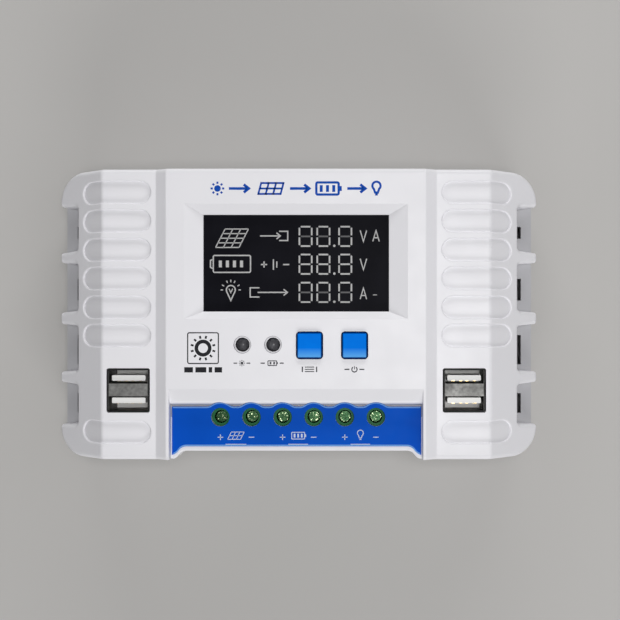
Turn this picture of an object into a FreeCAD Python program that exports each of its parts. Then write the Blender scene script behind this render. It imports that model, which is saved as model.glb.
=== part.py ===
import FreeCAD, Part
import math
import os
from FreeCAD import Vector

# Solar charge controller in a two-part plastic case, lying on its back.
# Millimetres. +Z points out of the front panel, +Y to the title edge, +X to the right.
# The origin is the centre of the case's footprint, on the back face.

# ---- Case ----------------------------------------------------------------------------
WIDTH = 160.8
LENGTH = 94.4
TOP_Y = LENGTH / 2
BOTTOM_Y = -TOP_Y
CORNER_R = 9.5
WALL = 2.2
ROOF_T = 2.4
FLOOR_T = 2.4
SPLIT_Z = 20.0            # where the front shell stands on the rear shell
LEDGE_T = 2.0             # shelf of the rear shell under a notch's wall
REAR_INSET = 1.3          # how far the rear shell stands inside the front shell's outline
BACK_EDGE_R = 1.2
PANEL_Z = 42.0            # raised centre panel
WING_Z = 39.5             # flat part of each wing
PANEL_HALF_X = 42.0
BAND_HALF_X = 45.6        # foot of the sloped band beside the panel
CREASE_HALF_X = 63.3      # where the wing starts to fall away
EAVE_SLOPE = math.radians(43.5)
EAVE_Z = WING_Z - (WIDTH / 2 - CREASE_HALF_X) * math.tan(EAVE_SLOPE)
BAND_R = 0.7
CREASE_R = 1.8
RIM_R = 1.6               # rounding of the case's top edges
ABOVE = PANEL_Z + 5.0     # clear of everything, for cutting tools

# ---- Side notches, four on each side -------------------------------------------------
NOTCH_SPANS = ((21.4, 35.8), (1.3, 16.9), (-18.7, -3.8), (-36.5, -23.4))
NOTCH_X = 73.0            # inner wall
NOTCH_FLARE = 0.7         # widening at each end of the mouth
NOTCH_CORNER_R = 1.0
TAB_TIP_R = 1.0
SLIT_SPANS = ((25.9, 29.9), (4.8, 12.2), (-17.0, -7.0), (-33.5, -26.8))
SLIT_X = (NOTCH_X + 0.2, NOTCH_X + 2.6)

# ---- Shallow grooved pills on the wings ----------------------------------------------
PILL_X = (47.4, 70.4)
PILL_H = 7.2
PILL_CENTRES_Y = (39.7, 30.4, 21.05, 11.75, 2.3, -6.9, -38.3)
PILL_DEPTH = 0.9
PILL_RIM_R = 0.5

# ---- Display -------------------------------------------------------------------------
BEVEL_HALF_X = 36.15
BEVEL_Y = (-1.5, 35.7)
WINDOW_HALF_X = 30.1
WINDOW_Y = (0.9, 32.3)
WINDOW_Z = 40.2           # foot of the bevel
LIP_Z = 39.2              # underside of the window's lip
LIP_MARGIN = (7.0, 4.0, 5.0)   # how far the thicker roof reaches past the window: sides, foot, top
LCD_HALF_X = 33.0
LCD_Y = (-1.4, 34.6)
LCD_Z = (36.3, 39.1)
BACKLIGHT_T = 3.4
BACKLIGHT_MARGIN = (0.5, 1.2, 0.5)   # inside the glass: sides, foot, top
FRAME_WALL = 1.4
FRAME_FLOOR_T = 2.0
FRAME_SHELF = 6.0         # width of the tray's floor round its opening
LCD_PIN_COUNT = 28
LCD_PIN_PITCH = 2.0
LCD_PIN_T = 0.3
LCD_GAP = 0.1             # between the glass and its tray
FRAME_LEG_R = 1.8

# ---- Terminals -----------------------------------------------------------------------
PITCH = 10.16
POLES = 6
TERMINAL_X0 = 0.5         # the row's middle
ROW_HALF_X = POLES * PITCH / 2 + 0.4
SCREW_Y = -33.55
PLATE_Z = 37.0            # label plane
PLATE_T = 2.2
POCKET_HALF_X = 41.0
POCKET_RIM_R = 0.4
STEP_TOP_Y = -24.2
STEP_TOP_R = 1.2
STEP_BROW = (-28.9, 40.4)   # Y and Z where the step turns down to the label
STEP_BROW_R = 2.0
STEP_FOOT_Y = -29.7
ARCH_R = 5.1
ARCH_BLEND_R = 3.0
ACCESS_R = 3.05           # screwdriver holes
FRONT_Y = -44.6           # recessed wall in front of the terminals
FRONT_RIM_R = 0.6
CURVE_X = (36.0, 41.2)    # S-curve from the recessed wall out to the wing
CURVE_OVERRUN = 0.2
LABEL_T = 0.25
LABEL_HALF_X = 40.7
LABEL_TOP_Y = -30.1
LABEL_MARGIN = 1.5
LABEL_ARCH_R = 4.9

MODULE_POLES = 2
BLOCK_Y = (-42.3, -28.6)
BLOCK_TOP_Z = 34.6
BLOCK_EDGE = 0.8
SHELL_OPENING_TOP_Z = 33.9
HEAD_TOP_Z = 33.6
HEAD_R = 2.1
HEAD_H = 1.7
HEAD_EDGE_R = 0.4
SHANK_R = 1.7
SHOULDER_T = 0.4          # housing under the screw's head
BUSBAR_Z = 24.5
BUSBAR_T = 1.0
BUSBAR_HALF_X = 2.4
BUSBAR_LEG_T = 0.8
TIP_GAP = 0.15
ENTRY_H = 4.6             # wire space under the bar with the clamp open
ENTRY_FUNNEL = 0.9
ENTRY_FUNNEL_DEPTH = 1.6
CAGE_HALF_X = 3.5
CAGE_HALF_Y = 3.6
CAGE_WALL = 0.8
CAGE_FLOOR_T = 1.2
CAGE_NUT_T = 1.8
CAGE_NUT_GAP = 0.4        # above the bar with the clamp open
SIDE_GAP = 0.3            # between a moving piece and what guides it
RUNNING_GAP = 0.05
CROSS_W = 0.8
CROSS_DEPTH = 1.0
CROSS_HALF = 1.5           # half the length of a cross recess
WIRE_GROOVE_R = 2.6
WIRE_GROOVE_Z = SPLIT_Z + 1.6

# ---- Buttons and lamps ---------------------------------------------------------------
BUTTON_XY = {"left": (4.4, -10.0), "right": (18.95, -10.0)}
BUTTON_SIZE = (8.2, 8.4)
BUTTON_R = 1.0
BUTTON_TOP_Z = 42.9
BUTTON_TOP_R = 0.6
BUTTON_FLANGE_Z = (38.3, 39.3)
BUTTON_FLANGE = 1.2
BUTTON_SEAT_Z = 41.2      # end of the cap's blind socket
SWITCH_HALF = 3.0
SWITCH_H = 3.6
SWITCH_CORNER_R = 0.4
SWITCH_FLOOR_T = 0.6
SWITCH_COVER_T = 0.8
SWITCH_CHAMBER_R = 2.5
PLUNGER_R = 1.7
PLUNGER_FOOT_R = 2.2
DOME_H = 0.55
DOME_R = 2.3
DOME_T = 0.1
LED_XY = {"left": (-17.3, -9.8), "right": (-7.4, -9.8)}
LED_R = 2.2
LED_HOLE_R = 2.3
LED_SINK_R = 2.85
LED_SINK_T = 1.0
LED_BODY_Z = (34.0, 38.9)
LED_FLANGE_R = 2.6
LED_FLANGE_T = 1.0
LEAD_HALF = 0.25          # half the width of a lamp's lead or a display pin
LED_LEADS_X = (-1.27, 1.27)
LED_SPACER_R = (1.7, 2.7)

# ---- USB stacks ----------------------------------------------------------------------
USB_X = 54.6
USB_Y = -24.7
USB_OPENING = (14.1, 14.4)
USB_OPENING_R = 0.7
USB_SIZE = (13.6, 13.9)
USB_CORNER_R = 0.5
USB_FACE_T = 0.4          # sheet across the front between the two ports
USB_TOP_Z = 39.4
USB_PORT_HALF_X = 6.3
USB_PORTS_Y = ((2.2, 6.55), (-6.55, -1.9))
USB_TONGUES_Y = ((3.1, 4.9), (-4.2, -2.4))
USB_TONGUE_HALF_X = 5.45
USB_TONGUE_DROP = 1.0
USB_BASE_T = 2.0
USB_SEPARATOR_HALF_Y = 1.3
USB_CONTACTS_X = (-3.5, -1.0, 1.0, 3.5)
USB_CONTACT = (1.0, 0.15)      # width and thickness
USB_CONTACT_SHORT = 1.2        # how far a contact stops below its tongue's end
TONGUE_CORNER_R = 0.3

# ---- Boards and fixings --------------------------------------------------------------
BOARD_T = 1.6
BOARD_CORNER_R = 1.5
MAIN_Z = 7.0
MAIN_TOP = MAIN_Z + BOARD_T
MAIN_HALF = (65.5, 42.3)
DISPLAY_Z = 22.0
DISPLAY_TOP = DISPLAY_Z + BOARD_T
DISPLAY_HALF_X = 42.0
DISPLAY_Y = (-26.5, 36.5)
EAR_X = (34.0, 66.5)
EAR_Y = (-36.8, -14.0)

CASE_SCREW_XY = ((70.5, 41.2), (70.5, -41.2))
CASE_SCREW_SEAT_Z = 8.0
CASE_SCREW_TOP_Z = 26.0
CASE_SCREW_R = 1.45
CASE_SCREW_HEAD = (2.9, 2.0)   # radius and height
CASE_SCREW_WELL_R = 3.2
CASE_SCREW_HOLE_R = 1.75
CASE_BOSS_R = 3.75
MAIN_SCREW_XY = ((62.0, 38.5), (62.0, -38.5))
DISPLAY_SCREW_XY = ((38.8, 31.0), (64.0, -34.2))
BOARD_BOSS_R = 3.0
MAIN_BOSS_R = 3.4
BOSS_PILOT_DEPTH = 8.0
BOARD_SCREW_R = 1.25
BOARD_SCREW_HEAD = (2.6, 1.8)   # radius and height
BOARD_SCREW_LENGTH = 5.0
BOARD_HOLE_R = 1.6
PILOT_GAP = 0.05

KEYHOLE_XY = (60.0, 18.0)
KEYHOLE_R = 4.25
KEYHOLE_SLOT_R = 2.2
KEYHOLE_RISE = 9.0
VENT_X = (38.0, 62.0)
VENT_R = 1.2
VENT_YS = tuple(-28.0 + 5.0 * i for i in range(8))

# ---- Power parts on the main board ---------------------------------------------------
SINK_BASE_X = (-56.5, -53.5)
SINK_FIN_X = -67.0
SINK_Y = (-10.0, 33.0)
SINK_Z = (9.2, 31.5)
SINK_FINS = 9
SINK_FIN_T = 1.4
PAD_T = 0.2
MOSFET_YS = (-4.0, 7.0, 18.0, 29.0)
TAB_T = 1.3
TAB_HALF_Y = 5.0
TAB_Z = (12.6, 28.2)
TAB_HOLE_Z = 25.4
TAB_HOLE_R = 1.8
PACKAGE_TOP_Z = 21.6
PACKAGE_T = 3.2
LEAD_PITCH = 2.54
MOSFET_LEAD = (2.0, 2.5)       # a lead's two faces, from the tab's back
MOSFET_LEAD_HALF_Y = 0.4
MOSFET_SCREW_R = 1.45
MOSFET_SCREW_HEAD = (2.8, 2.0) # radius and height
CAPACITOR_XY = {"1": (53.0, 27.0), "2": (53.0, 9.0)}
CAPACITOR_R = 8.0
CAPACITOR_TOP_Z = 31.0
CAPACITOR_EDGE_R = 0.8
CAPACITOR_GROOVE = (8.5, 1.0, 3.0)   # torus radius, its tube and its height over the board
INDUCTOR_XY = (55.0, -6.0)
INDUCTOR_SIZE = (12.0, 12.0)
INDUCTOR_H = 7.0
INDUCTOR_RING_R = (4.4, 5.0)
INDUCTOR_RING_DEPTH = 0.5
FUSE_XY = (12.0, 22.0)
FUSE_BASE = (22.0, 8.0)
FUSE_CAP = (19.0, 5.0)
FUSE_SEAT_Z = MAIN_TOP + 6.5
FUSE_CAP_H = 5.5
FUSE_CORNER_R = 0.8
BLADES_X = (-6.5, 6.5)
BLADE_HALF = (2.5, 0.35)
SLOT_HALF = (2.8, 0.5)
CHIP_XY = (12.0, 2.0)
CHIP_HALF = (6.5, 3.8)
CHIP_T = 2.2
CHIP_STANDOFF = 0.3
CHIP_LEGS = 10
CHIP_PITCH = 1.27
CHIP_LEG_HALF = 0.2
CHIP_LEG_Y = (3.5, 5.2)
CHIP_LEG_H = 0.6
SHUNT_XY = (-12.0, 2.0)
SHUNT_HALF_SPAN = 5.0
SHUNT_R = 0.8
SHUNT_RISE = 4.0
LINK_X = (-25.4, -10.0)
LINK_Y = (20.6, 25.9)
LINK_PINS = (6, 2)             # columns and rows
LINK_PIN_XY = (-24.0, 22.0)    # the first pin
LINK_PIN_HALF = 0.32
LINK_HOLE_HALF = 0.45
LINK_SOCKET_H = 8.5
LINK_HEADER_H = 2.5


# ---- Helpers -------------------------------------------------------------------------
def box(x0, x1, y0, y1, z0, z1):
    return Part.makeBox(x1 - x0, y1 - y0, z1 - z0, Vector(x0, y0, z0))


def rod(x, y, z0, z1, r):
    return Part.makeCylinder(r, z1 - z0, Vector(x, y, z0))


def rod_x(x0, x1, y, z, r):
    return Part.makeCylinder(r, x1 - x0, Vector(x0, y, z), Vector(1, 0, 0))


def both_sides(shapes):
    """Each shape and its copy on the other side of the YZ plane."""
    flip = [shape.mirror(Vector(0, 0, 0), Vector(1, 0, 0)) for shape in shapes]
    return list(shapes) + flip


def both_points(points):
    return [(side * x, y) for x, y in points for side in (1, -1)]


def rounded_wire(corners, radii):
    """Closed flat wire through the corners, each rounded by its own radius."""
    corners = [Vector(*corner) for corner in corners]
    arcs = []
    for i, corner in enumerate(corners):
        into = (corner - corners[i - 1]).normalize()
        out = (corners[(i + 1) % len(corners)] - corner).normalize()
        turn = into.getAngle(out)
        reach = radii[i] * math.tan(turn / 2)
        bulge = radii[i] * (1 / math.cos(turn / 2) - 1)
        middle = corner + (out - into).normalize() * bulge
        arcs.append((corner - into * reach, middle, corner + out * reach))
    edges = []
    for i, (start, middle, end) in enumerate(arcs):
        if radii[i] > 0:
            edges.append(Part.Arc(start, middle, end).toShape())
        after = arcs[(i + 1) % len(arcs)][0]
        if end.distanceToPoint(after) > 1e-6:
            edges.append(Part.LineSegment(end, after).toShape())
    return Part.Wire(edges)


def plan_prism(points, radii, z0, z1):
    wire = rounded_wire([(x, y, z0) for x, y in points], radii)
    return Part.Face(wire).extrude(Vector(0, 0, z1 - z0))


def side_prism(points, radii, x0, x1):
    """Prism along X whose outline is given in Y and Z."""
    wire = rounded_wire([(x0, y, z) for y, z in points], radii)
    return Part.Face(wire).extrude(Vector(x1 - x0, 0, 0))


def front_prism(points, radii, y0, y1):
    """Prism along Y whose outline is given in X and Z."""
    wire = rounded_wire([(x, y0, z) for x, z in points], radii)
    return Part.Face(wire).extrude(Vector(0, y1 - y0, 0))


def rounded_box(x0, x1, y0, y1, z0, z1, radius):
    return plan_prism([(x0, y0), (x1, y0), (x1, y1), (x0, y1)], [radius] * 4, z0, z1)


def centred_box(x, y, size, z0, z1, radius):
    half_x, half_y = size[0] / 2, size[1] / 2
    return rounded_box(x - half_x, x + half_x, y - half_y, y + half_y, z0, z1, radius)


def cut(shape, tools):
    return shape.cut(Part.makeCompound(tools)).Solids[0]


def fuse(shapes):
    return shapes[0].multiFuse(shapes[1:]).removeSplitter().Solids[0]


def middle_of(edge):
    return edge.valueAt((edge.FirstParameter + edge.LastParameter) / 2)


def round_edges(shape, radius, chosen):
    """Round the edges whose middle point and faces the chosen function accepts."""
    edges = []
    for edge in shape.Edges:
        point = middle_of(edge)
        if chosen(point, edge):
            edges.append(edge)
    return shape.makeFillet(radius, edges).Solids[0]


def is_rim(shape, edge):
    """True between a roof face and an upright wall."""
    point = middle_of(edge)
    rises = []
    for face in shape.ancestorsOfType(edge, Part.Face):
        rises.append(abs(face.normalAt(*face.Surface.parameter(point)).z))
    return max(rises) > 0.5 and min(rises) < 0.3


def export(name, *shapes):
    shape = shapes[0] if len(shapes) == 1 else Part.makeCompound(shapes)
    shape.exportStep("parts/" + name + ".step")


def terminal_xs():
    return [TERMINAL_X0 + (i - (POLES - 1) / 2) * PITCH for i in range(POLES)]


# ---- Shapes that both shells share ---------------------------------------------------
def roof_prism(drop, z0):
    """Everything between z0 and the case's roof, lowered by drop."""
    half = WIDTH / 2
    right = [(PANEL_HALF_X, PANEL_Z), (BAND_HALF_X, WING_Z), (CREASE_HALF_X, WING_Z), (half, EAVE_Z)]
    right = [(x, z - drop) for x, z in right]
    left = [(-x, z) for x, z in reversed(right)]
    radii = [BAND_R, BAND_R, CREASE_R, 0]
    points = [(-half, z0)] + left + right + [(half, z0)]
    return front_prism(points, [0] + radii[::-1] + radii + [0], BOTTOM_Y, TOP_Y)


def outline_prism(inset, z0, z1):
    x = WIDTH / 2 - inset
    return rounded_box(-x, x, BOTTOM_Y + inset, TOP_Y - inset, z0, z1, CORNER_R - inset)


def notch_tool(span, grow, z0, z1):
    """One right-hand side notch, grown all round."""
    low, high = span[0] - grow, span[1] + grow
    mouth = WIDTH / 2 + 1.0
    radius = NOTCH_CORNER_R + grow
    corners = [(NOTCH_X - grow, low), (mouth, low - NOTCH_FLARE), (mouth, high + NOTCH_FLARE),
               (NOTCH_X - grow, high)]
    return plan_prism(corners, [radius, 0, 0, radius], z0, z1)


def notch_tools(grow, z0, z1):
    return both_sides([notch_tool(span, grow, z0, z1) for span in NOTCH_SPANS])


def s_curve(side, grow, z):
    """Two equal arcs from the recessed wall out to the wing's front wall."""
    start = Vector(side * (CURVE_X[0] + grow), FRONT_Y + grow, z)
    end = Vector(side * (CURVE_X[1] + grow), BOTTOM_Y - CURVE_OVERRUN + grow, z)
    across = abs(end.x - start.x)
    turn = 2 * math.atan2(start.y - end.y, across)
    radius = across / 2 / math.sin(turn)
    reach = radius * math.sin(turn / 2)
    sag = radius * (1 - math.cos(turn / 2))
    halfway = (start + end) * 0.5
    first = Part.Arc(start, start + Vector(side * reach, -sag, 0), halfway)
    second = Part.Arc(halfway, end + Vector(-side * reach, sag, 0), end)
    return [first.toShape(), second.toShape()], start, end


def front_recess(grow, z0, z1):
    """The space in front of the terminals; grow moves its wall back and out."""
    far = BOTTOM_Y - 6.0
    right, right_start, right_end = s_curve(1, grow, z0)
    left, left_start, left_end = s_curve(-1, grow, z0)
    corners = [right_end, Vector(right_end.x, far, z0), Vector(left_end.x, far, z0), left_end]
    straight = [Part.LineSegment(p, q).toShape() for p, q in zip(corners, corners[1:])]
    wall = Part.LineSegment(left_start, right_start).toShape()
    wire = Part.Wire(Part.__sortEdges__(right + straight + left + [wall]))
    return Part.Face(wire).extrude(Vector(0, 0, z1 - z0))


# ---- Front shell ---------------------------------------------------------------------
def label_pocket(grow):
    """The step down from the panel to the label plane; grow thickens its walls for the cavity."""
    far = BOTTOM_Y - 1.0
    top = PANEL_Z - grow
    bottom = PLATE_Z - grow
    brow = (STEP_BROW[0] + grow, STEP_BROW[1] - grow)
    outline = [(STEP_TOP_Y + grow, ABOVE), (STEP_TOP_Y + grow, top), brow, (STEP_FOOT_Y + grow, bottom),
               (far, bottom), (far, ABOVE)]
    half = POCKET_HALF_X + grow
    return side_prism(outline, [0, 0, STEP_BROW_R, 0, 0, 0], -half, half)


def arches(radius, foot_y, z0, z1):
    """A strip with an arch over each screw, blended into its straight edge."""
    strip = box(-LABEL_HALF_X, LABEL_HALF_X, SCREW_Y - radius, foot_y, z0, z1)
    body = fuse([strip] + [rod(x, SCREW_Y, z0, z1, radius) for x in terminal_xs()])

    def junction(point, edge):
        upright = edge.BoundBox.ZLength > 0.9 * (z1 - z0)
        return upright and abs(point.y - foot_y) < 1e-3 and abs(point.x) < LABEL_HALF_X - 1

    return round_edges(body, ARCH_BLEND_R, junction)


def pill_tools():
    tools = []
    for y in PILL_CENTRES_Y:
        stadium = rounded_box(PILL_X[0], PILL_X[1], y - PILL_H / 2, y + PILL_H / 2, WING_Z - 10, ABOVE,
                              PILL_H / 2 - 0.001)
        tools.append(stadium.cut(roof_prism(PILL_DEPTH, 0)))
    return both_sides(tools)


def bevel_tool():
    """Frustum from the panel down to the window's rim, with unequal margins."""
    outer = (-BEVEL_HALF_X, BEVEL_HALF_X, BEVEL_Y[0], BEVEL_Y[1])
    inner = (-WINDOW_HALF_X, WINDOW_HALF_X, WINDOW_Y[0], WINDOW_Y[1])
    over = 1.0
    stretch = over / (PANEL_Z - WINDOW_Z)
    top = [o + (o - i) * stretch for o, i in zip(outer, inner)]
    wires = []
    for (x0, x1, y0, y1), z in ((inner, WINDOW_Z), (top, PANEL_Z + over)):
        wires.append(rounded_wire([(x0, y0, z), (x1, y0, z), (x1, y1, z), (x0, y1, z)], [0] * 4))
    return Part.makeLoft(wires, True, True)


def shell_exterior():
    """The front shell as a solid block with its outer shape."""
    body = roof_prism(0, SPLIT_Z).common(outline_prism(0, SPLIT_Z, ABOVE))
    body = cut(body, notch_tools(0, SPLIT_Z - 1, ABOVE))
    half = WIDTH / 2

    def tab_tip(point, edge):
        upright = edge.BoundBox.ZLength > 2 and edge.BoundBox.XLength < 1e-6
        corner_seam = min(abs(point.y - y) for y in (TOP_Y - CORNER_R, BOTTOM_Y + CORNER_R)) < 0.05
        return upright and abs(abs(point.x) - half) < 0.01 and not corner_seam

    body = round_edges(body, TAB_TIP_R, tab_tip)
    body = round_edges(body, RIM_R, lambda point, edge: point.z > SPLIT_Z + 1 and is_rim(body, edge))
    body = cut(body, pill_tools())
    skin = roof_prism(0.02, 0)

    def pill_rim(point, edge):
        on_wing = BAND_HALF_X < abs(point.x) < PILL_X[1] + 0.1
        near_pill = min(abs(point.y - y) for y in PILL_CENTRES_Y) < PILL_H / 2 + 0.1
        return on_wing and near_pill and is_rim(body, edge) and not skin.isInside(point, 1e-4, False)

    return round_edges(body, PILL_RIM_R, pill_rim)


def open_front(body):
    """Cut the terminal recess, the step and the arches, and round their edges."""
    body = cut(body, [front_recess(0, SPLIT_Z - 1, ABOVE), label_pocket(0)])
    body = cut(body, [arches(ARCH_R, STEP_FOOT_Y, PLATE_Z, ABOVE)])

    def plate_rim(point, edge):
        return abs(point.z - PLATE_Z) < 0.01 and point.y < FRONT_Y + 0.1 and abs(point.x) < POCKET_HALF_X

    def step_top(point, edge):
        return abs(point.z - PANEL_Z) < 0.01 and abs(point.y - STEP_TOP_Y) < 0.01

    def pocket_rim(point, edge):
        return abs(point.z - PANEL_Z) < 0.01 and abs(abs(point.x) - POCKET_HALF_X) < 0.01

    body = round_edges(body, FRONT_RIM_R, plate_rim)
    body = round_edges(body, POCKET_RIM_R, pocket_rim)
    return round_edges(body, STEP_TOP_R, step_top)


def shell_cavity():
    cavity = roof_prism(ROOF_T, SPLIT_Z - 1).common(outline_prism(WALL, SPLIT_Z - 1, ABOVE))
    keep = notch_tools(WALL, SPLIT_Z - 2, ABOVE + 1)
    keep += [front_recess(WALL, SPLIT_Z - 2, ABOVE), label_pocket(WALL)]
    lip_x = WINDOW_HALF_X + LIP_MARGIN[0]
    keep.append(box(-lip_x, lip_x, WINDOW_Y[0] - LIP_MARGIN[1], WINDOW_Y[1] + LIP_MARGIN[2], LIP_Z, ABOVE))
    return cut(cavity, keep)


def shell_bosses():
    """Screw posts under the roof for the case screws and the display board."""
    under_roof = roof_prism(ROOF_T / 2, 0)
    posts = [rod(x, y, SPLIT_Z, ABOVE, CASE_BOSS_R) for x, y in both_points(CASE_SCREW_XY)]
    posts += [rod(x, y, DISPLAY_TOP, ABOVE, BOARD_BOSS_R) for x, y in both_points(DISPLAY_SCREW_XY)]
    inside = outline_prism(WALL / 2, 0, ABOVE)
    return [post.common(under_roof).common(inside) for post in posts]


def front_shell():
    body = open_front(shell_exterior())
    body = cut(body, [shell_cavity()])
    body = fuse([body] + shell_bosses())
    tools = [bevel_tool()]
    tools.append(box(-WINDOW_HALF_X, WINDOW_HALF_X, WINDOW_Y[0], WINDOW_Y[1], LIP_Z - 1, WINDOW_Z + 0.1))
    tools += [rod(x, SCREW_Y, PLATE_Z - PLATE_T - 1, ABOVE, ACCESS_R) for x in terminal_xs()]
    for x, y in BUTTON_XY.values():
        size = (BUTTON_SIZE[0] + 2 * SIDE_GAP, BUTTON_SIZE[1] + 2 * SIDE_GAP)
        tools.append(centred_box(x, y, size, LIP_Z - 1, ABOVE, BUTTON_R + SIDE_GAP))
    for x, y in LED_XY.values():
        tools.append(rod(x, y, LIP_Z - 1, ABOVE, LED_HOLE_R))
        tools.append(rod(x, y, PANEL_Z - LED_SINK_T, ABOVE, LED_SINK_R))
    for side in (1, -1):
        tools.append(centred_box(side * USB_X, USB_Y, USB_OPENING, WING_Z - ROOF_T - 1, ABOVE, USB_OPENING_R))
    tools.append(box(TERMINAL_X0 - ROW_HALF_X, TERMINAL_X0 + ROW_HALF_X, FRONT_Y - 5, BLOCK_Y[0] + 0.2,
                     SPLIT_Z - 1, SHELL_OPENING_TOP_Z))
    for x, y in both_points(CASE_SCREW_XY):
        tools.append(rod(x, y, SPLIT_Z - 1, CASE_SCREW_TOP_Z + 1, CASE_SCREW_R + PILOT_GAP))
    for x, y in both_points(DISPLAY_SCREW_XY):
        tools.append(rod(x, y, DISPLAY_TOP - 1, DISPLAY_TOP + BOSS_PILOT_DEPTH, BOARD_SCREW_R + PILOT_GAP))
    return cut(body, tools)


def label_film():
    """Printed film on the label plane, scalloped round the arches."""
    film_top = PLATE_Z + LABEL_T
    film = box(-LABEL_HALF_X, LABEL_HALF_X, BOTTOM_Y, SCREW_Y, PLATE_Z, film_top)
    film = fuse([film, arches(LABEL_ARCH_R, LABEL_TOP_Y, PLATE_Z, film_top)])
    holes = [rod(x, SCREW_Y, PLATE_Z - 1, ABOVE, ACCESS_R) for x in terminal_xs()]
    edge = front_recess(0, PLATE_Z - 1, ABOVE)
    edge.translate(Vector(0, LABEL_MARGIN, 0))
    return cut(film, holes + [edge])


# ---- Rear shell ----------------------------------------------------------------------
def ledges():
    """Shelves at the split that carry the notch walls and the recessed front wall."""
    reach = WALL + 0.6
    low = SPLIT_Z - LEDGE_T
    shelves = notch_tools(reach, low, SPLIT_Z) + [front_recess(reach, low, SPLIT_Z)]
    inside = outline_prism(REAR_INSET + WALL / 2, low, SPLIT_Z)
    return [shelf.common(inside) for shelf in shelves]


def keyhole(side):
    x, y = side * KEYHOLE_XY[0], KEYHOLE_XY[1]
    slot = rounded_box(x - KEYHOLE_SLOT_R, x + KEYHOLE_SLOT_R, y, y + KEYHOLE_RISE + KEYHOLE_SLOT_R,
                       -1, FLOOR_T + 1, KEYHOLE_SLOT_R - 0.001)
    return [rod(x, y, -1, FLOOR_T + 1, KEYHOLE_R), slot]


def rear_shell():
    tray = outline_prism(REAR_INSET, 0, SPLIT_Z)
    tray = round_edges(tray, BACK_EDGE_R, lambda point, edge: abs(point.z) < 1e-6)
    tray = cut(tray, [outline_prism(REAR_INSET + WALL, FLOOR_T, SPLIT_Z + 1)])
    posts = [rod(x, y, FLOOR_T - 1, SPLIT_Z, CASE_BOSS_R) for x, y in both_points(CASE_SCREW_XY)]
    posts += [rod(x, y, FLOOR_T - 1, MAIN_Z, MAIN_BOSS_R) for x, y in both_points(MAIN_SCREW_XY)]
    tray = fuse([tray] + posts + ledges())
    tools = [box(TERMINAL_X0 - ROW_HALF_X, TERMINAL_X0 + ROW_HALF_X, BLOCK_Y[0] - 0.1, BLOCK_Y[1],
                 SPLIT_Z - LEDGE_T - 1, SPLIT_Z + 1)]
    tools += both_sides([box(*SLIT_X, *span, SPLIT_Z - LEDGE_T - 1, SPLIT_Z + 1) for span in SLIT_SPANS])
    for x in terminal_xs():
        start = Vector(x, -LENGTH, WIRE_GROOVE_Z)
        tools.append(Part.makeCylinder(WIRE_GROOVE_R, LENGTH, start, Vector(0, 1, 0)))
    for x, y in both_points(CASE_SCREW_XY):
        tools.append(rod(x, y, -1, CASE_SCREW_SEAT_Z, CASE_SCREW_WELL_R))
        tools.append(rod(x, y, -1, SPLIT_Z + 1, CASE_SCREW_HOLE_R))
    for x, y in both_points(MAIN_SCREW_XY):
        tools.append(rod(x, y, FLOOR_T, MAIN_Z + 1, BOARD_SCREW_R + PILOT_GAP))
    vents = [rounded_box(*VENT_X, y - VENT_R, y + VENT_R, -1, FLOOR_T + 1, VENT_R - 0.001) for y in VENT_YS]
    return cut(tray, tools + both_sides(vents) + keyhole(1) + keyhole(-1))


def case_screw(x, y):
    radius, height = CASE_SCREW_HEAD
    head_z = CASE_SCREW_SEAT_Z - height
    head = rod(x, y, head_z, CASE_SCREW_SEAT_Z, radius)
    shank = rod(x, y, head_z, CASE_SCREW_TOP_Z, CASE_SCREW_R)
    return cross_recess(fuse([head, shank]), x, y, head_z, 1)


def cross_recess(screw, x, y, z, into):
    """Cut a cross slot in the head face at z; into is +1 or -1 along Z."""
    z0, z1 = sorted((z - into * 0.5, z + into * CROSS_DEPTH))
    bars = [box(x - CROSS_HALF, x + CROSS_HALF, y - CROSS_W / 2, y + CROSS_W / 2, z0, z1)]
    bars.append(box(x - CROSS_W / 2, x + CROSS_W / 2, y - CROSS_HALF, y + CROSS_HALF, z0, z1))
    return cut(screw, [fuse(bars)])


def board_screw(x, y, seat_z, into):
    """Pan-head screw whose head rests on seat_z; into is the way the shank points."""
    radius, height = BOARD_SCREW_HEAD
    z0, z1 = sorted((seat_z, seat_z - into * height))
    shank = sorted((seat_z - into * 0.5, seat_z + into * BOARD_SCREW_LENGTH))
    screw = fuse([rod(x, y, z0, z1, radius), rod(x, y, shank[0], shank[1], BOARD_SCREW_R)])
    return cross_recess(screw, x, y, seat_z - into * height, into)


# ---- Display -------------------------------------------------------------------------
def lcd_frame():
    """Tray that holds the backlight and the glass, open on its lower side, on four legs."""
    x = LCD_HALF_X + LCD_GAP
    y1 = LCD_Y[1] + LCD_GAP
    floor_z = LCD_Z[0] - BACKLIGHT_T - FRAME_FLOOR_T
    body = box(-x - FRAME_WALL, x + FRAME_WALL, LCD_Y[0] + 1.0, y1 + FRAME_WALL, floor_z, LCD_Z[1] - 0.3)
    pocket = box(-x, x, LCD_Y[0] - 2, y1, floor_z + FRAME_FLOOR_T, ABOVE)
    shelf = FRAME_SHELF
    window = box(-x + shelf, x - shelf, LCD_Y[0] + shelf, y1 - shelf, floor_z - 1, ABOVE)
    frame = cut(body, [pocket, window])
    legs = [rod(side * (x - 2), y, DISPLAY_TOP, floor_z + 0.5, FRAME_LEG_R)
            for side in (1, -1) for y in (LCD_Y[0] + 4, y1 - 3)]
    return fuse([frame] + legs)


def lcd_pins():
    first = -(LCD_PIN_COUNT - 1) / 2 * LCD_PIN_PITCH
    pins = []
    for i in range(LCD_PIN_COUNT):
        x = first + i * LCD_PIN_PITCH
        pins.append(box(x - LEAD_HALF, x + LEAD_HALF, LCD_Y[0] - LCD_PIN_T, LCD_Y[0],
                        DISPLAY_TOP, LCD_Z[1] - LCD_PIN_T))
    return pins


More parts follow.
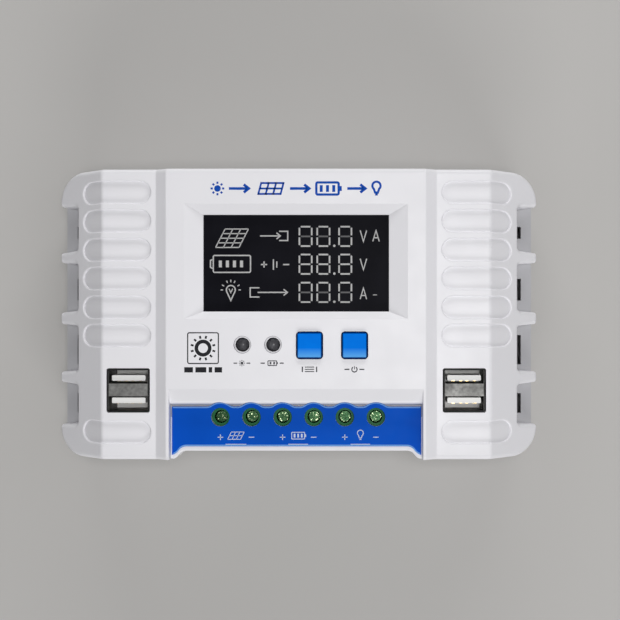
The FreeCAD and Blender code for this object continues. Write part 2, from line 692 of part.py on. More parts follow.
def display_board():
    plate = rounded_box(-DISPLAY_HALF_X, DISPLAY_HALF_X, *DISPLAY_Y, DISPLAY_Z, DISPLAY_TOP, BOARD_CORNER_R)
    ears = both_sides([rounded_box(*EAR_X, *EAR_Y, DISPLAY_Z, DISPLAY_TOP, BOARD_CORNER_R)])
    board = fuse([plate] + ears)
    holes = [rod(x, y, DISPLAY_Z - 1, ABOVE, BOARD_HOLE_R) for x, y in both_points(DISPLAY_SCREW_XY)]
    return cut(board, holes)


# ---- Buttons and lamps ---------------------------------------------------------------
def button_cap(x, y):
    top = centred_box(x, y, BUTTON_SIZE, BUTTON_FLANGE_Z[0], BUTTON_TOP_Z, BUTTON_R)
    top = round_edges(top, BUTTON_TOP_R, lambda point, edge: abs(point.z - BUTTON_TOP_Z) < 1e-6)
    wide = (BUTTON_SIZE[0] + 2 * BUTTON_FLANGE, BUTTON_SIZE[1] + 2 * BUTTON_FLANGE)
    flange = centred_box(x, y, wide, *BUTTON_FLANGE_Z, BUTTON_R)
    return cut(fuse([top, flange]), [rod(x, y, BUTTON_FLANGE_Z[0] - 1, BUTTON_SEAT_Z, PLUNGER_R)])


def switch_body(x, y):
    top = DISPLAY_TOP + SWITCH_H
    size = (2 * SWITCH_HALF, 2 * SWITCH_HALF)
    body = centred_box(x, y, size, DISPLAY_TOP, top, SWITCH_CORNER_R)
    chamber = rod(x, y, DISPLAY_TOP + SWITCH_FLOOR_T, top - SWITCH_COVER_T, SWITCH_CHAMBER_R)
    return cut(body, [chamber, rod(x, y, top - SWITCH_COVER_T - 0.1, top + 1, PLUNGER_R + RUNNING_GAP)])


def switch_plunger(x, y):
    foot_z = DISPLAY_TOP + SWITCH_FLOOR_T + DOME_H
    foot_top = DISPLAY_TOP + SWITCH_H - SWITCH_COVER_T - SIDE_GAP
    return fuse([rod(x, y, foot_z, foot_top, PLUNGER_FOOT_R), rod(x, y, foot_z, BUTTON_SEAT_Z, PLUNGER_R)])


def switch_dome(x, y):
    """Snap dome: a thin spherical cap standing on the switch's floor."""
    floor_z = DISPLAY_TOP + SWITCH_FLOOR_T

    def cap(height, base):
        sphere_r = (base ** 2 + height ** 2) / (2 * height)
        ball = Part.makeSphere(sphere_r, Vector(x, y, floor_z + height - sphere_r))
        return ball.common(rod(x, y, floor_z, floor_z + height + 1, base + 1))

    return cut(cap(DOME_H, DOME_R), [cap(DOME_H - DOME_T, DOME_R - DOME_T)])


def led(x, y):
    base_z, shoulder_z = LED_BODY_Z
    body = rod(x, y, base_z, shoulder_z, LED_R)
    dome = Part.makeSphere(LED_R, Vector(x, y, shoulder_z)).common(rod(x, y, shoulder_z, ABOVE, LED_R + 1))
    flange = rod(x, y, base_z, base_z + LED_FLANGE_T, LED_FLANGE_R)
    square = (2 * LEAD_HALF, 2 * LEAD_HALF)
    leads = [centred_box(x + dx, y, square, DISPLAY_TOP, base_z + 0.5, 0) for dx in LED_LEADS_X]
    return fuse([body, dome, flange] + leads)


def led_spacer(x, y):
    inner, outer = LED_SPACER_R
    return cut(rod(x, y, DISPLAY_TOP, LED_BODY_Z[0], outer), [rod(x, y, 0, ABOVE, inner)])


# ---- USB stacks ----------------------------------------------------------------------
def usb_shell(x):
    body = centred_box(x, USB_Y, USB_SIZE, DISPLAY_TOP, USB_TOP_Z, USB_CORNER_R)
    x0, x1 = x - USB_PORT_HALF_X, x + USB_PORT_HALF_X
    tools = [box(x0, x1, USB_Y + y0, USB_Y + y1, DISPLAY_TOP - 1, ABOVE) for y0, y1 in USB_PORTS_Y]
    half = USB_SEPARATOR_HALF_Y
    tools.append(box(x0, x1, USB_Y - half, USB_Y + half, DISPLAY_TOP - 1, USB_TOP_Z - USB_FACE_T))
    return cut(body, tools)


def usb_insulators(x):
    """The two tongues with their bases, one for each port."""
    solids = []
    for (y0, y1), (t0, t1) in zip(USB_PORTS_Y, USB_TONGUES_Y):
        base = box(x - USB_PORT_HALF_X, x + USB_PORT_HALF_X, USB_Y + y0, USB_Y + y1,
                   DISPLAY_TOP, DISPLAY_TOP + USB_BASE_T)
        tongue = rounded_box(x - USB_TONGUE_HALF_X, x + USB_TONGUE_HALF_X, USB_Y + t0, USB_Y + t1,
                             DISPLAY_TOP, USB_TOP_Z - USB_TONGUE_DROP, TONGUE_CORNER_R)
        solids.append(fuse([base, tongue]))
    return solids


def usb_contacts(x):
    width, thickness = USB_CONTACT
    top = USB_TOP_Z - USB_TONGUE_DROP - USB_CONTACT_SHORT
    strips = []
    for t0, _ in USB_TONGUES_Y:
        for dx in USB_CONTACTS_X:
            x0 = x + dx - width / 2
            strips.append(box(x0, x0 + width, USB_Y + t0 - thickness, USB_Y + t0,
                              DISPLAY_TOP + USB_BASE_T, top))
    return strips


# ---- Terminals -----------------------------------------------------------------------
def chamber_tools(x):
    """Spaces in the block for one pole: cage chamber, wire entry, screw well and contact leg."""
    floor_z = BUSBAR_Z - ENTRY_H
    head_z = HEAD_TOP_Z - HEAD_H
    half_x = CAGE_HALF_X + SIDE_GAP
    half_y = CAGE_HALF_Y + SIDE_GAP
    entry = CAGE_HALF_X - CAGE_WALL
    wide = entry + ENTRY_FUNNEL
    chamber = box(x - half_x, x + half_x, SCREW_Y - half_y, SCREW_Y + half_y,
                  floor_z - CAGE_FLOOR_T - SIDE_GAP, head_z - SHOULDER_T)
    way_in = box(x - entry, x + entry, BLOCK_Y[0] - 1, SCREW_Y, floor_z, BUSBAR_Z)
    wires = []
    for y, half, low, high in ((BLOCK_Y[0], wide, floor_z - ENTRY_FUNNEL, BUSBAR_Z + ENTRY_FUNNEL),
                               (BLOCK_Y[0] + ENTRY_FUNNEL_DEPTH, entry, floor_z, BUSBAR_Z)):
        corners = [(x - half, y, low), (x + half, y, low), (x + half, y, high), (x - half, y, high)]
        wires.append(rounded_wire(corners, [0] * 4))
    funnel = Part.makeLoft(wires, True, True)
    well = rod(x, SCREW_Y, head_z, BLOCK_TOP_Z + 1, HEAD_R + RUNNING_GAP)
    neck = rod(x, SCREW_Y, head_z - SHOULDER_T - 0.1, head_z + 0.1, SHANK_R + RUNNING_GAP)
    leg = box(x - BUSBAR_HALF_X, x + BUSBAR_HALF_X, BLOCK_Y[1] - RUNNING_GAP - BUSBAR_LEG_T, BLOCK_Y[1] + 1,
              MAIN_TOP - 1, BUSBAR_Z + BUSBAR_T)
    bar = box(x - BUSBAR_HALF_X, x + BUSBAR_HALF_X, SCREW_Y, BLOCK_Y[1] + 1, BUSBAR_Z, BUSBAR_Z + BUSBAR_T)
    return [chamber, way_in, funnel, well, neck, leg, bar]


def terminal_block(xs):
    """One two-pole module that stands on the main board."""
    x0, x1 = xs[0] - PITCH / 2, xs[-1] + PITCH / 2
    y0, y1 = BLOCK_Y
    outline = [(y0, MAIN_TOP), (y0, BLOCK_TOP_Z - BLOCK_EDGE), (y0 + BLOCK_EDGE, BLOCK_TOP_Z),
               (y1 - BLOCK_EDGE, BLOCK_TOP_Z), (y1, BLOCK_TOP_Z - BLOCK_EDGE), (y1, MAIN_TOP)]
    body = side_prism(outline, [0] * 6, x0, x1)
    tools = []
    for x in xs:
        tools += chamber_tools(x)
    return cut(body, tools)


def terminal_contact(x):
    """Fixed bar over the wire space, with its leg down to the board."""
    back = BLOCK_Y[1] - RUNNING_GAP
    bar = box(x - BUSBAR_HALF_X, x + BUSBAR_HALF_X, SCREW_Y - CAGE_HALF_Y, back,
              BUSBAR_Z, BUSBAR_Z + BUSBAR_T)
    leg = box(x - BUSBAR_HALF_X, x + BUSBAR_HALF_X, back - BUSBAR_LEG_T, back, MAIN_TOP, BUSBAR_Z + 0.5)
    return fuse([bar, leg])


def terminal_screw(x):
    head_z = HEAD_TOP_Z - HEAD_H
    head = rod(x, SCREW_Y, head_z, HEAD_TOP_Z, HEAD_R)
    head = round_edges(head, HEAD_EDGE_R,
                       lambda point, edge: abs(point.z - HEAD_TOP_Z) < 1e-6 and edge.Closed)
    shank = rod(x, SCREW_Y, BUSBAR_Z + BUSBAR_T + TIP_GAP, head_z + 0.5, SHANK_R)
    return cross_recess(fuse([head, shank]), x, SCREW_Y, HEAD_TOP_Z, -1)


def clamp_cage(x):
    """Rising cage: the nut plate above the bar, the wire's floor below it, open along Y."""
    wire_floor = BUSBAR_Z - ENTRY_H
    nut_z = BUSBAR_Z + BUSBAR_T + CAGE_NUT_GAP
    y0, y1 = SCREW_Y - CAGE_HALF_Y, SCREW_Y + CAGE_HALF_Y
    body = box(x - CAGE_HALF_X, x + CAGE_HALF_X, y0, y1, wire_floor - CAGE_FLOOR_T, nut_z + CAGE_NUT_T)
    inner = CAGE_HALF_X - CAGE_WALL
    through = box(x - inner, x + inner, y0 - 1, y1 + 1, wire_floor, nut_z)
    return cut(body, [through, rod(x, SCREW_Y, nut_z - 1, ABOVE, SHANK_R + RUNNING_GAP)])


# ---- Main board and its parts --------------------------------------------------------
def main_board():
    half_x, half_y = MAIN_HALF
    board = rounded_box(-half_x, half_x, -half_y, half_y, MAIN_Z, MAIN_TOP, BOARD_CORNER_R)
    return cut(board, [rod(x, y, MAIN_Z - 1, ABOVE, BOARD_HOLE_R) for x, y in both_points(MAIN_SCREW_XY)])


def heatsink():
    base_x0, base_x1 = SINK_BASE_X
    y0, y1 = SINK_Y
    pitch = (y1 - y0 - SINK_FIN_T) / (SINK_FINS - 1)
    solids = [box(base_x0, base_x1, y0, y1, *SINK_Z)]
    for i in range(SINK_FINS):
        solids.append(box(SINK_FIN_X, base_x0 + 0.5, y0 + i * pitch, y0 + i * pitch + SINK_FIN_T, *SINK_Z))
    holes = [rod_x(base_x0 - 0.2, base_x1 + 1, y, TAB_HOLE_Z, MOSFET_SCREW_R + PILOT_GAP) for y in MOSFET_YS]
    return cut(fuse(solids), holes)


def thermal_pad(y):
    x0 = SINK_BASE_X[1]
    pad = box(x0, x0 + PAD_T, y - TAB_HALF_Y - 0.3, y + TAB_HALF_Y + 0.3, TAB_Z[0] - 0.5, TAB_Z[1] + 0.5)
    return cut(pad, [rod_x(x0 - 1, x0 + 1, y, TAB_HOLE_Z, TAB_HOLE_R)])


def mosfet(y):
    """Upright transistor with its tab against the pad and three leads in the board."""
    x0 = SINK_BASE_X[1] + PAD_T
    tab = box(x0, x0 + TAB_T, y - TAB_HALF_Y, y + TAB_HALF_Y, *TAB_Z)
    package = box(x0 + TAB_T - 0.2, x0 + TAB_T + PACKAGE_T, y - TAB_HALF_Y, y + TAB_HALF_Y,
                  TAB_Z[0], PACKAGE_TOP_Z)
    near, far = MOSFET_LEAD
    half = MOSFET_LEAD_HALF_Y
    leads = [box(x0 + near, x0 + far, y + dy - half, y + dy + half, MAIN_TOP, TAB_Z[0] + 0.5)
             for dy in (-LEAD_PITCH, 0, LEAD_PITCH)]
    return cut(fuse([tab, package] + leads), [rod_x(x0 - 1, x0 + 8, y, TAB_HOLE_Z, TAB_HOLE_R)])


def mosfet_screw(y):
    seat_x = SINK_BASE_X[1] + PAD_T + TAB_T
    radius, height = MOSFET_SCREW_HEAD
    return fuse([rod_x(seat_x, seat_x + height, y, TAB_HOLE_Z, radius),
                 rod_x(SINK_BASE_X[0] + 0.2, seat_x + 0.5, y, TAB_HOLE_Z, MOSFET_SCREW_R)])


def capacitor(x, y):
    can = rod(x, y, MAIN_TOP, CAPACITOR_TOP_Z, CAPACITOR_R)
    can = round_edges(can, CAPACITOR_EDGE_R,
                      lambda point, edge: edge.Closed and abs(point.z - CAPACITOR_TOP_Z) < 1e-6)
    radius, tube, height = CAPACITOR_GROOVE
    groove = Part.makeTorus(radius, tube, Vector(x, y, MAIN_TOP + height))
    return cut(can, [groove])


def inductor():
    """Drum inductor for the USB supply."""
    x, y = INDUCTOR_XY
    top = MAIN_TOP + INDUCTOR_H
    body = centred_box(x, y, INDUCTOR_SIZE, MAIN_TOP, top, BOARD_CORNER_R)
    inner, outer = INDUCTOR_RING_R
    ring = cut(rod(x, y, top - INDUCTOR_RING_DEPTH, top + 1, outer), [rod(x, y, MAIN_TOP, ABOVE, inner)])
    return cut(body, [ring])


def beside_fuse(half, z0, z1):
    """A box at each blade of the fuse."""
    x, y = FUSE_XY
    return [centred_box(x + dx, y, (2 * half[0], 2 * half[1]), z0, z1, 0) for dx in BLADES_X]


def fuse_holder():
    body = centred_box(*FUSE_XY, FUSE_BASE, MAIN_TOP, FUSE_SEAT_Z, FUSE_CORNER_R)
    return cut(body, beside_fuse(SLOT_HALF, MAIN_TOP + 1.0, ABOVE))


def blade_fuse():
    cap = centred_box(*FUSE_XY, FUSE_CAP, FUSE_SEAT_Z, FUSE_SEAT_Z + FUSE_CAP_H, FUSE_CORNER_R)
    return fuse([cap] + beside_fuse(BLADE_HALF, MAIN_TOP + 1.5, FUSE_SEAT_Z + 0.5))


def controller_ic():
    x, y = CHIP_XY
    half_x, half_y = CHIP_HALF
    low = MAIN_TOP + CHIP_STANDOFF
    body = box(x - half_x, x + half_x, y - half_y, y + half_y, low, low + CHIP_T)
    legs = []
    for side in (1, -1):
        near, tip = sorted(y + side * reach for reach in CHIP_LEG_Y)
        for i in range(CHIP_LEGS):
            middle = x + (i - (CHIP_LEGS - 1) / 2) * CHIP_PITCH
            legs.append(box(middle - CHIP_LEG_HALF, middle + CHIP_LEG_HALF, near, tip,
                            MAIN_TOP, MAIN_TOP + CHIP_LEG_H))
    return fuse([body] + legs)


def current_shunt():
    """Thick resistance wire bent into an arch."""
    x, y = SHUNT_XY
    span, rise = SHUNT_HALF_SPAN, SHUNT_RISE
    start = Vector(x - span, y, MAIN_TOP)
    shoulder_a = start + Vector(0, 0, rise)
    shoulder_b = Vector(x + span, y, MAIN_TOP + rise)
    arch = Part.Arc(shoulder_a, Vector(x, y, MAIN_TOP + rise + span), shoulder_b)
    path = Part.Wire([Part.LineSegment(start, shoulder_a).toShape(), arch.toShape(),
                      Part.LineSegment(shoulder_b, shoulder_b - Vector(0, 0, rise)).toShape()])
    ring = Part.Wire([Part.makeCircle(SHUNT_R, start, Vector(0, 0, 1))])
    return path.makePipeShell([ring], True, True)


def link_pins():
    columns, rows = LINK_PINS
    x, y = LINK_PIN_XY
    return [(x + i * LEAD_PITCH, y + j * LEAD_PITCH) for i in range(columns) for j in range(rows)]


def at_link_pins(half, z0, z1):
    return [centred_box(x, y, (2 * half, 2 * half), z0, z1, 0) for x, y in link_pins()]


def link_socket():
    body = box(*LINK_X, *LINK_Y, MAIN_TOP, MAIN_TOP + LINK_SOCKET_H)
    return cut(body, at_link_pins(LINK_HOLE_HALF, MAIN_TOP + 1.0, ABOVE))


def link_header():
    body = box(*LINK_X, *LINK_Y, DISPLAY_Z - LINK_HEADER_H, DISPLAY_Z)
    return fuse([body] + at_link_pins(LINK_PIN_HALF, MAIN_TOP + 2.5, DISPLAY_Z))


# ---- All nodes -----------------------------------------------------------------------
def export_case():
    export("front_shell", front_shell())
    export("rear_shell", rear_shell())
    export("label_film", label_film())
    export("case_screws", *[case_screw(x, y) for x, y in both_points(CASE_SCREW_XY)])


def export_display():
    export("lcd_glass", box(-LCD_HALF_X, LCD_HALF_X, *LCD_Y, *LCD_Z))
    side, foot, top = BACKLIGHT_MARGIN
    light_x = LCD_HALF_X - side
    export("lcd_backlight", box(-light_x, light_x, LCD_Y[0] + foot, LCD_Y[1] - top,
                                LCD_Z[0] - BACKLIGHT_T, LCD_Z[0]))
    export("lcd_frame", lcd_frame())
    export("lcd_pins", *lcd_pins())
    export("display_board", display_board())
    export("display_board_screws",
           *[board_screw(x, y, DISPLAY_Z, 1) for x, y in both_points(DISPLAY_SCREW_XY)])
    for side, (x, y) in BUTTON_XY.items():
        export("button_cap_" + side, button_cap(x, y))
        export("switch_body_" + side, switch_body(x, y))
        export("switch_plunger_" + side, switch_plunger(x, y))
        export("switch_dome_" + side, switch_dome(x, y))
    for side, (x, y) in LED_XY.items():
        export("led_" + side, led(x, y))
    export("led_spacers", *[led_spacer(x, y) for x, y in LED_XY.values()])
    contacts = []
    for side, x in (("left", -USB_X), ("right", USB_X)):
        export("usb_shell_" + side, usb_shell(x))
        export("usb_insulator_" + side, *usb_insulators(x))
        contacts += usb_contacts(x)
    export("usb_contacts", *contacts)


def export_terminals():
    xs = terminal_xs()
    for i in range(0, POLES, MODULE_POLES):
        export("terminal_block_" + str(i // MODULE_POLES + 1), terminal_block(xs[i:i + MODULE_POLES]))
    export("terminal_contacts", *[terminal_contact(x) for x in xs])
    for number, x in enumerate(xs, 1):
        export("terminal_screw_" + str(number), terminal_screw(x))
        export("clamp_cage_" + str(number), clamp_cage(x))


def export_power():
    export("main_board", main_board())
    export("main_board_screws", *[board_screw(x, y, MAIN_TOP, -1) for x, y in both_points(MAIN_SCREW_XY)])
    export("heatsink", heatsink())
    export("thermal_pads", *[thermal_pad(y) for y in MOSFET_YS])
    for number, y in enumerate(MOSFET_YS, 1):
        export("mosfet_" + str(number), mosfet(y))
    export("mosfet_screws", *[mosfet_screw(y) for y in MOSFET_YS])
    for number, (x, y) in CAPACITOR_XY.items():
        export("capacitor_" + number, capacitor(x, y))
    export("inductor", inductor())
    export("fuse_holder", fuse_holder())
    export("fuse", blade_fuse())
    export("controller_ic", controller_ic())
    export("current_shunt", current_shunt())
    export("link_socket", link_socket())
    export("link_header", link_header())


os.makedirs("parts", exist_ok=True)
export_case()
export_display()
export_terminals()
export_power()
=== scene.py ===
import math

import bpy
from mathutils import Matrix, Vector


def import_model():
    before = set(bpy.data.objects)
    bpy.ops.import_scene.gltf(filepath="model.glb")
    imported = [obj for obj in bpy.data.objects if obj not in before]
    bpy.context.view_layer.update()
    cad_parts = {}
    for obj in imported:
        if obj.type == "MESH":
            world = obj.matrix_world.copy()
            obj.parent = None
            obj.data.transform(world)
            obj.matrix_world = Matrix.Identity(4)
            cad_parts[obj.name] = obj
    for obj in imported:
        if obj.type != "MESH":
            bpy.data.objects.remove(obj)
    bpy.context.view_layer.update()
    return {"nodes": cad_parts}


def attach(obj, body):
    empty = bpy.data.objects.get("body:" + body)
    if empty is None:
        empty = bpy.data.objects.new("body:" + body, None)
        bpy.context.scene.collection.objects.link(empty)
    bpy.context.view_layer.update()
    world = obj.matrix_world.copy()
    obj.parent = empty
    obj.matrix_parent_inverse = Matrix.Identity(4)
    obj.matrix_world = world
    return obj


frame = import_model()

NODES = frame["nodes"]
BODY = "controller"

# ---- Sizes of the CAD part, in millimetres ------------------------------------------------------
MM = 0.001

PANEL_Z = 42.0            # the three faces that carry print
GLASS_Z = 39.1
LABEL_Z = 37.25

TERMINALS = 6
SCREW_PITCH = 10.16
SCREW_ROW_X = 0.5         # middle of the row of clamp screws
SCREW_XS = [SCREW_ROW_X + (i - (TERMINALS - 1) / 2) * SCREW_PITCH for i in range(TERMINALS)]
SCREW_Y = -33.55

LAMP_XS = (-17.3, -7.4)
LAMP_Y = -9.8
SINK_R = 2.85             # counterbores round the lamps
SINK_T = 1.0

BUTTONS = {"left": (4.4, -10.0), "right": (18.95, -10.0)}
BUTTON_HALF = 3.85

SOCKETS = {"left": (-54.6, -24.7), "right": (54.6, -24.7)}
SOCKET_HALF = 6.45
SOCKET_EXTRA_Y = 0.15     # a stacked pair is this much longer than wide, on each side

STEP_TOP_Y = -24.2        # the step that leads down to the label
STEP_WALL_Z = 40.4        # top of the steep wall at its lower end
LABEL_HALF_X = 40.7
LABEL_TOP_Y = -30.1
ARCH_R = 4.9              # the label's six arches, and the hollow curves beside them
BLEND_R = 3.0
RECESS_START = (36.0, -43.1)
RECESS_END = (41.2, -45.9)

BOARD_T = 1.6
MAIN_BOARD_TOP = 8.6
DISPLAY_BOARD_TOP = 23.6
TRANSISTOR_TAB_X = -52.1
TRANSISTOR_LEAD_Z = 12.58
CAPACITOR_CAN_Z = 30.6
CAPACITOR_STRIPE_X = 59.4
FUSE_BLADE_Z = 15.1
CHIP_PIN_Z = 8.85
HEADER_PIN_Z = 19.45


# ---- Node-tree helpers --------------------------------------------------------------------------
class Shader:
    """A Principled material whose textures are laid out in object space."""

    def __init__(self, name, roughness=0.5, metallic=0.0, specular=0.5):
        self.material = bpy.data.materials.new(name)
        self.material.use_nodes = True
        self.nodes = self.material.node_tree.nodes
        self.links = self.material.node_tree.links
        self.bsdf = self.nodes["Principled BSDF"]
        self.bsdf.inputs["Roughness"].default_value = roughness
        self.bsdf.inputs["Metallic"].default_value = metallic
        self.bsdf.inputs["Specular IOR Level"].default_value = specular
        self.coords = self.nodes.new("ShaderNodeTexCoord").outputs["Object"]

    def noise(self, scale, detail=3.0, stretch=(1, 1, 1)):
        mapping = self.nodes.new("ShaderNodeMapping")
        mapping.inputs["Scale"].default_value = stretch
        texture = self.nodes.new("ShaderNodeTexNoise")
        texture.inputs["Scale"].default_value = scale
        texture.inputs["Detail"].default_value = detail
        self.links.new(self.coords, mapping.inputs["Vector"])
        self.links.new(mapping.outputs["Vector"], texture.inputs["Vector"])
        return texture.outputs["Fac"]

    def cloud(self, scale, detail=3.0, stretch=(1, 1, 1)):
        """Noise with more contrast, from 0 to 1."""
        return self.spread(self.noise(scale, detail, stretch), 0.3, 0.7, 0.0, 1.0)

    def cells(self, scale):
        texture = self.nodes.new("ShaderNodeTexVoronoi")
        texture.inputs["Scale"].default_value = scale
        self.links.new(self.coords, texture.inputs["Vector"])
        return texture.outputs["Distance"]

    def spread(self, value, low, high, out_low, out_high):
        """Map value from low..high to out_low..out_high, held at the ends."""
        node = self.nodes.new("ShaderNodeMapRange")
        node.inputs["From Min"].default_value = low
        node.inputs["From Max"].default_value = high
        node.inputs["To Min"].default_value = out_low
        node.inputs["To Max"].default_value = out_high
        self.links.new(value, node.inputs["Value"])
        return node.outputs["Result"]

    def maths(self, operation, first, second=None):
        """One sum; each term is a number or another value output."""
        node = self.nodes.new("ShaderNodeMath")
        node.operation = operation
        for socket, value in zip(node.inputs, (first, second)):
            if value is None:
                continue
            if isinstance(value, (int, float)):
                socket.default_value = value
            else:
                self.links.new(value, socket)
        return node.outputs["Value"]

    def axis(self, name):
        node = self.nodes.new("ShaderNodeSeparateXYZ")
        self.links.new(self.coords, node.inputs["Vector"])
        return node.outputs[name]

    def above(self, name, limit_mm):
        """1 where the coordinate is over a limit, else 0."""
        return self.maths("GREATER_THAN", self.axis(name), limit_mm * MM)

    def below(self, name, limit_mm):
        return self.maths("LESS_THAN", self.axis(name), limit_mm * MM)

    def off(self, name, centre_mm):
        """Distance along one axis from a centre."""
        return self.maths("SUBTRACT", self.axis(name), centre_mm * MM)

    def square_reach(self, x, y, extra_y):
        """Distance from a centre in the larger of x and y, with the y sides extra_y further out."""
        across = self.maths("ABSOLUTE", self.off("X", x))
        along = self.maths("ABSOLUTE", self.off("Y", y))
        return self.maths("MAXIMUM", across, self.maths("SUBTRACT", along, extra_y * MM))

    def mix(self, factor, first, second):
        """A colour between two; each is a tuple or another colour output."""
        node = self.nodes.new("ShaderNodeMix")
        node.data_type = "RGBA"
        self.links.new(factor, node.inputs["Factor"])
        for socket, value in ((node.inputs[6], first), (node.inputs[7], second)):
            if isinstance(value, tuple):
                socket.default_value = (*value, 1.0)
            else:
                self.links.new(value, socket)
        return node.outputs[2]

    def colour(self, output):
        """Set the base colour, and keep it in self.base for a shade laid over it."""
        self.base = output
        self.links.new(output, self.bsdf.inputs["Base Color"])

    def rough(self, output):
        self.links.new(output, self.bsdf.inputs["Roughness"])

    def metal(self, output):
        self.links.new(output, self.bsdf.inputs["Metallic"])

    def bump(self, height, strength, depth_mm):
        node = self.nodes.new("ShaderNodeBump")
        node.inputs["Strength"].default_value = strength
        node.inputs["Distance"].default_value = depth_mm * MM
        self.links.new(height, node.inputs["Height"])
        self.links.new(node.outputs["Normal"], self.bsdf.inputs["Normal"])


def shades(colour, spread):
    """The same colour a little darker and a little lighter."""
    return tuple(c * (1 - spread) for c in colour), tuple(min(1.0, c * (1 + spread)) for c in colour)


def plastic(name, colour, roughness=0.45, spread=0.02, depth=0.012, specular=0.5):
    """Moulded plastic: faint cloudy colour, fine spark-eroded grain and uneven gloss."""
    s = Shader(name, roughness, specular=specular)
    low, high = shades(colour, spread)
    s.colour(s.mix(s.cloud(45.0, 4.0), low, high))
    s.rough(s.spread(s.noise(120.0), 0.3, 0.7, roughness - 0.05, roughness + 0.05))
    s.bump(s.noise(3200.0, 2.0), 0.35, depth)
    return s


def metal(name, colour, roughness=0.3, stretch=(1, 1, 1), spread=0.08):
    """Bare or plated metal with a drawn or rolled grain."""
    s = Shader(name, roughness, metallic=1.0)
    low, high = shades(colour, spread)
    grains = s.noise(900.0, 4.0, stretch)
    s.colour(s.mix(s.spread(grains, 0.3, 0.7, 0.0, 1.0), low, high))
    s.rough(s.spread(s.noise(200.0), 0.3, 0.7, roughness - 0.07, roughness + 0.1))
    s.bump(grains, 0.3, 0.01)
    return s


def two_part(name, body, body_high, bare_below_mm, metal_colour):
    """Plastic above a height, plated metal below it."""
    s = Shader(name, 0.45)
    bare = s.below("Z", bare_below_mm)
    s.colour(s.mix(bare, s.mix(s.noise(400.0), body, body_high), metal_colour))
    s.metal(bare)
    s.bump(s.noise(1800.0), 0.25, 0.01)
    return s


def ink(name, colour):
    """Screen-printed ink with a slightly uneven film."""
    s = Shader(name, specular=0.05)
    low, high = shades(colour, 0.05)
    s.colour(s.mix(s.cloud(900.0), low, high))
    s.bump(s.noise(2500.0), 0.2, 0.005)
    return s


def give(shader, *names):
    """Put a material on CAD nodes."""
    for name in names:
        slots = NODES[name].data.materials
        if slots:
            for i in range(len(slots)):
                slots[i] = shader.material
        else:
            slots.append(shader.material)


# ---- Materials ----------------------------------------------------------------------------------
def step_wall_shade(s):
    """Mask of the painted shade: 1 on the steep wall above the label, fading out at its top."""
    fade = 1.3
    shade = s.spread(s.axis("Z"), (STEP_WALL_Z - fade) * MM, STEP_WALL_Z * MM, 1.0, 0.0)
    beside = s.maths("LESS_THAN", s.maths("ABSOLUTE", s.axis("X")), (LABEL_HALF_X + 0.3) * MM)
    for limit in (s.below("Y", STEP_TOP_Y - 2), s.above("Y", SCREW_Y + 0.05), beside):
        shade = s.maths("MULTIPLY", shade, limit)
    return shade


def lamp_corner_shade(s, lamp_x):
    """Mask of the painted shade: 1 in the corner between a counterbore's floor and its wall."""
    dx, dy = s.off("X", lamp_x), s.off("Y", LAMP_Y)
    away = s.maths("SQRT", s.maths("ADD", s.maths("MULTIPLY", dx, dx), s.maths("MULTIPLY", dy, dy)))
    corner = s.spread(away, (SINK_R - 0.35) * MM, (SINK_R - 0.05) * MM, 0.0, 1.0)
    near = s.maths("LESS_THAN", away, (SINK_R + 0.1) * MM)
    sunk = s.below("Z", PANEL_Z - 0.3 * SINK_T)
    return s.maths("MULTIPLY", s.maths("MULTIPLY", corner, near), sunk)


def case_material():
    """White case, with painted shade on the wall above the label and in the corners round the lamps.
    """
    s = plastic("case_white", (0.82, 0.815, 0.845), roughness=0.37, spread=0.012, specular=0.28)
    shade = step_wall_shade(s)
    for lamp_x in LAMP_XS:
        shade = s.maths("MAXIMUM", shade, lamp_corner_shade(s, lamp_x))
    # Painted shade: the case colour is darkened towards this grey under the masks.
    s.colour(s.mix(shade, s.base, (0.36, 0.36, 0.385)))
    return s


def board_material(name, top_mm):
    """Solder mask over faint copper tracks, with bare glass fibre at the edges."""
    mask_t = 0.08
    s = Shader(name, 0.32)
    tracks = s.nodes.new("ShaderNodeTexBrick")
    tracks.inputs["Scale"].default_value = 160.0
    tracks.inputs["Mortar Size"].default_value = 0.03
    tracks.inputs["Color1"].default_value = (0.006, 0.105, 0.035, 1)
    tracks.inputs["Color2"].default_value = (0.008, 0.135, 0.045, 1)
    tracks.inputs["Mortar"].default_value = (0.02, 0.21, 0.07, 1)
    s.links.new(s.coords, tracks.inputs["Vector"])
    core = s.maths("MULTIPLY", s.below("Z", top_mm - mask_t), s.above("Z", top_mm - BOARD_T + mask_t))
    s.colour(s.mix(core, tracks.outputs["Color"], (0.32, 0.33, 0.14)))
    s.bump(tracks.outputs["Fac"], 0.2, 0.03)
    return s


def button_material(x, y):
    """Blue cap, with a painted sheen that pales it towards its foot and painted shade in a narrow navy
    band round its rim.
    """
    s = Shader("button_blue_" + str(int(x)), 0.34, specular=0.006)
    # Painted shade: the shadowed gap round the cap, as a navy band at its rim.
    rim = s.spread(s.square_reach(x, y, 0.1), (BUTTON_HALF - 0.3) * MM, BUTTON_HALF * MM, 0.0, 1.0)
    face = s.mix(s.cloud(150.0), (0.0, 0.175, 0.78), (0.0, 0.205, 0.86))
    # Painted sheen: the face is paler towards the cap's foot.
    foot = s.spread(s.axis("Y"), (y - 3.6) * MM, (y - 0.8) * MM, 0.75, 0.0)
    face = s.mix(foot, face, (0.14, 0.48, 0.92))
    s.colour(s.mix(rim, face, (0.0, 0.03, 0.17)))
    s.bump(s.noise(2600.0, 2.0), 0.2, 0.008)
    return s


def lamp_material():
    """Smoky epoxy, streaked from top to bottom."""
    s = Shader("lamp_smoke", 0.22, specular=0.3)
    streaks = s.spread(s.noise(900.0, 3.0, (1, 0.25, 1)), 0.35, 0.65, 0.0, 1.0)
    s.colour(s.mix(streaks, (0.045, 0.045, 0.052), (0.13, 0.13, 0.14)))
    s.bump(s.cells(1500.0), 0.25, 0.02)
    return s


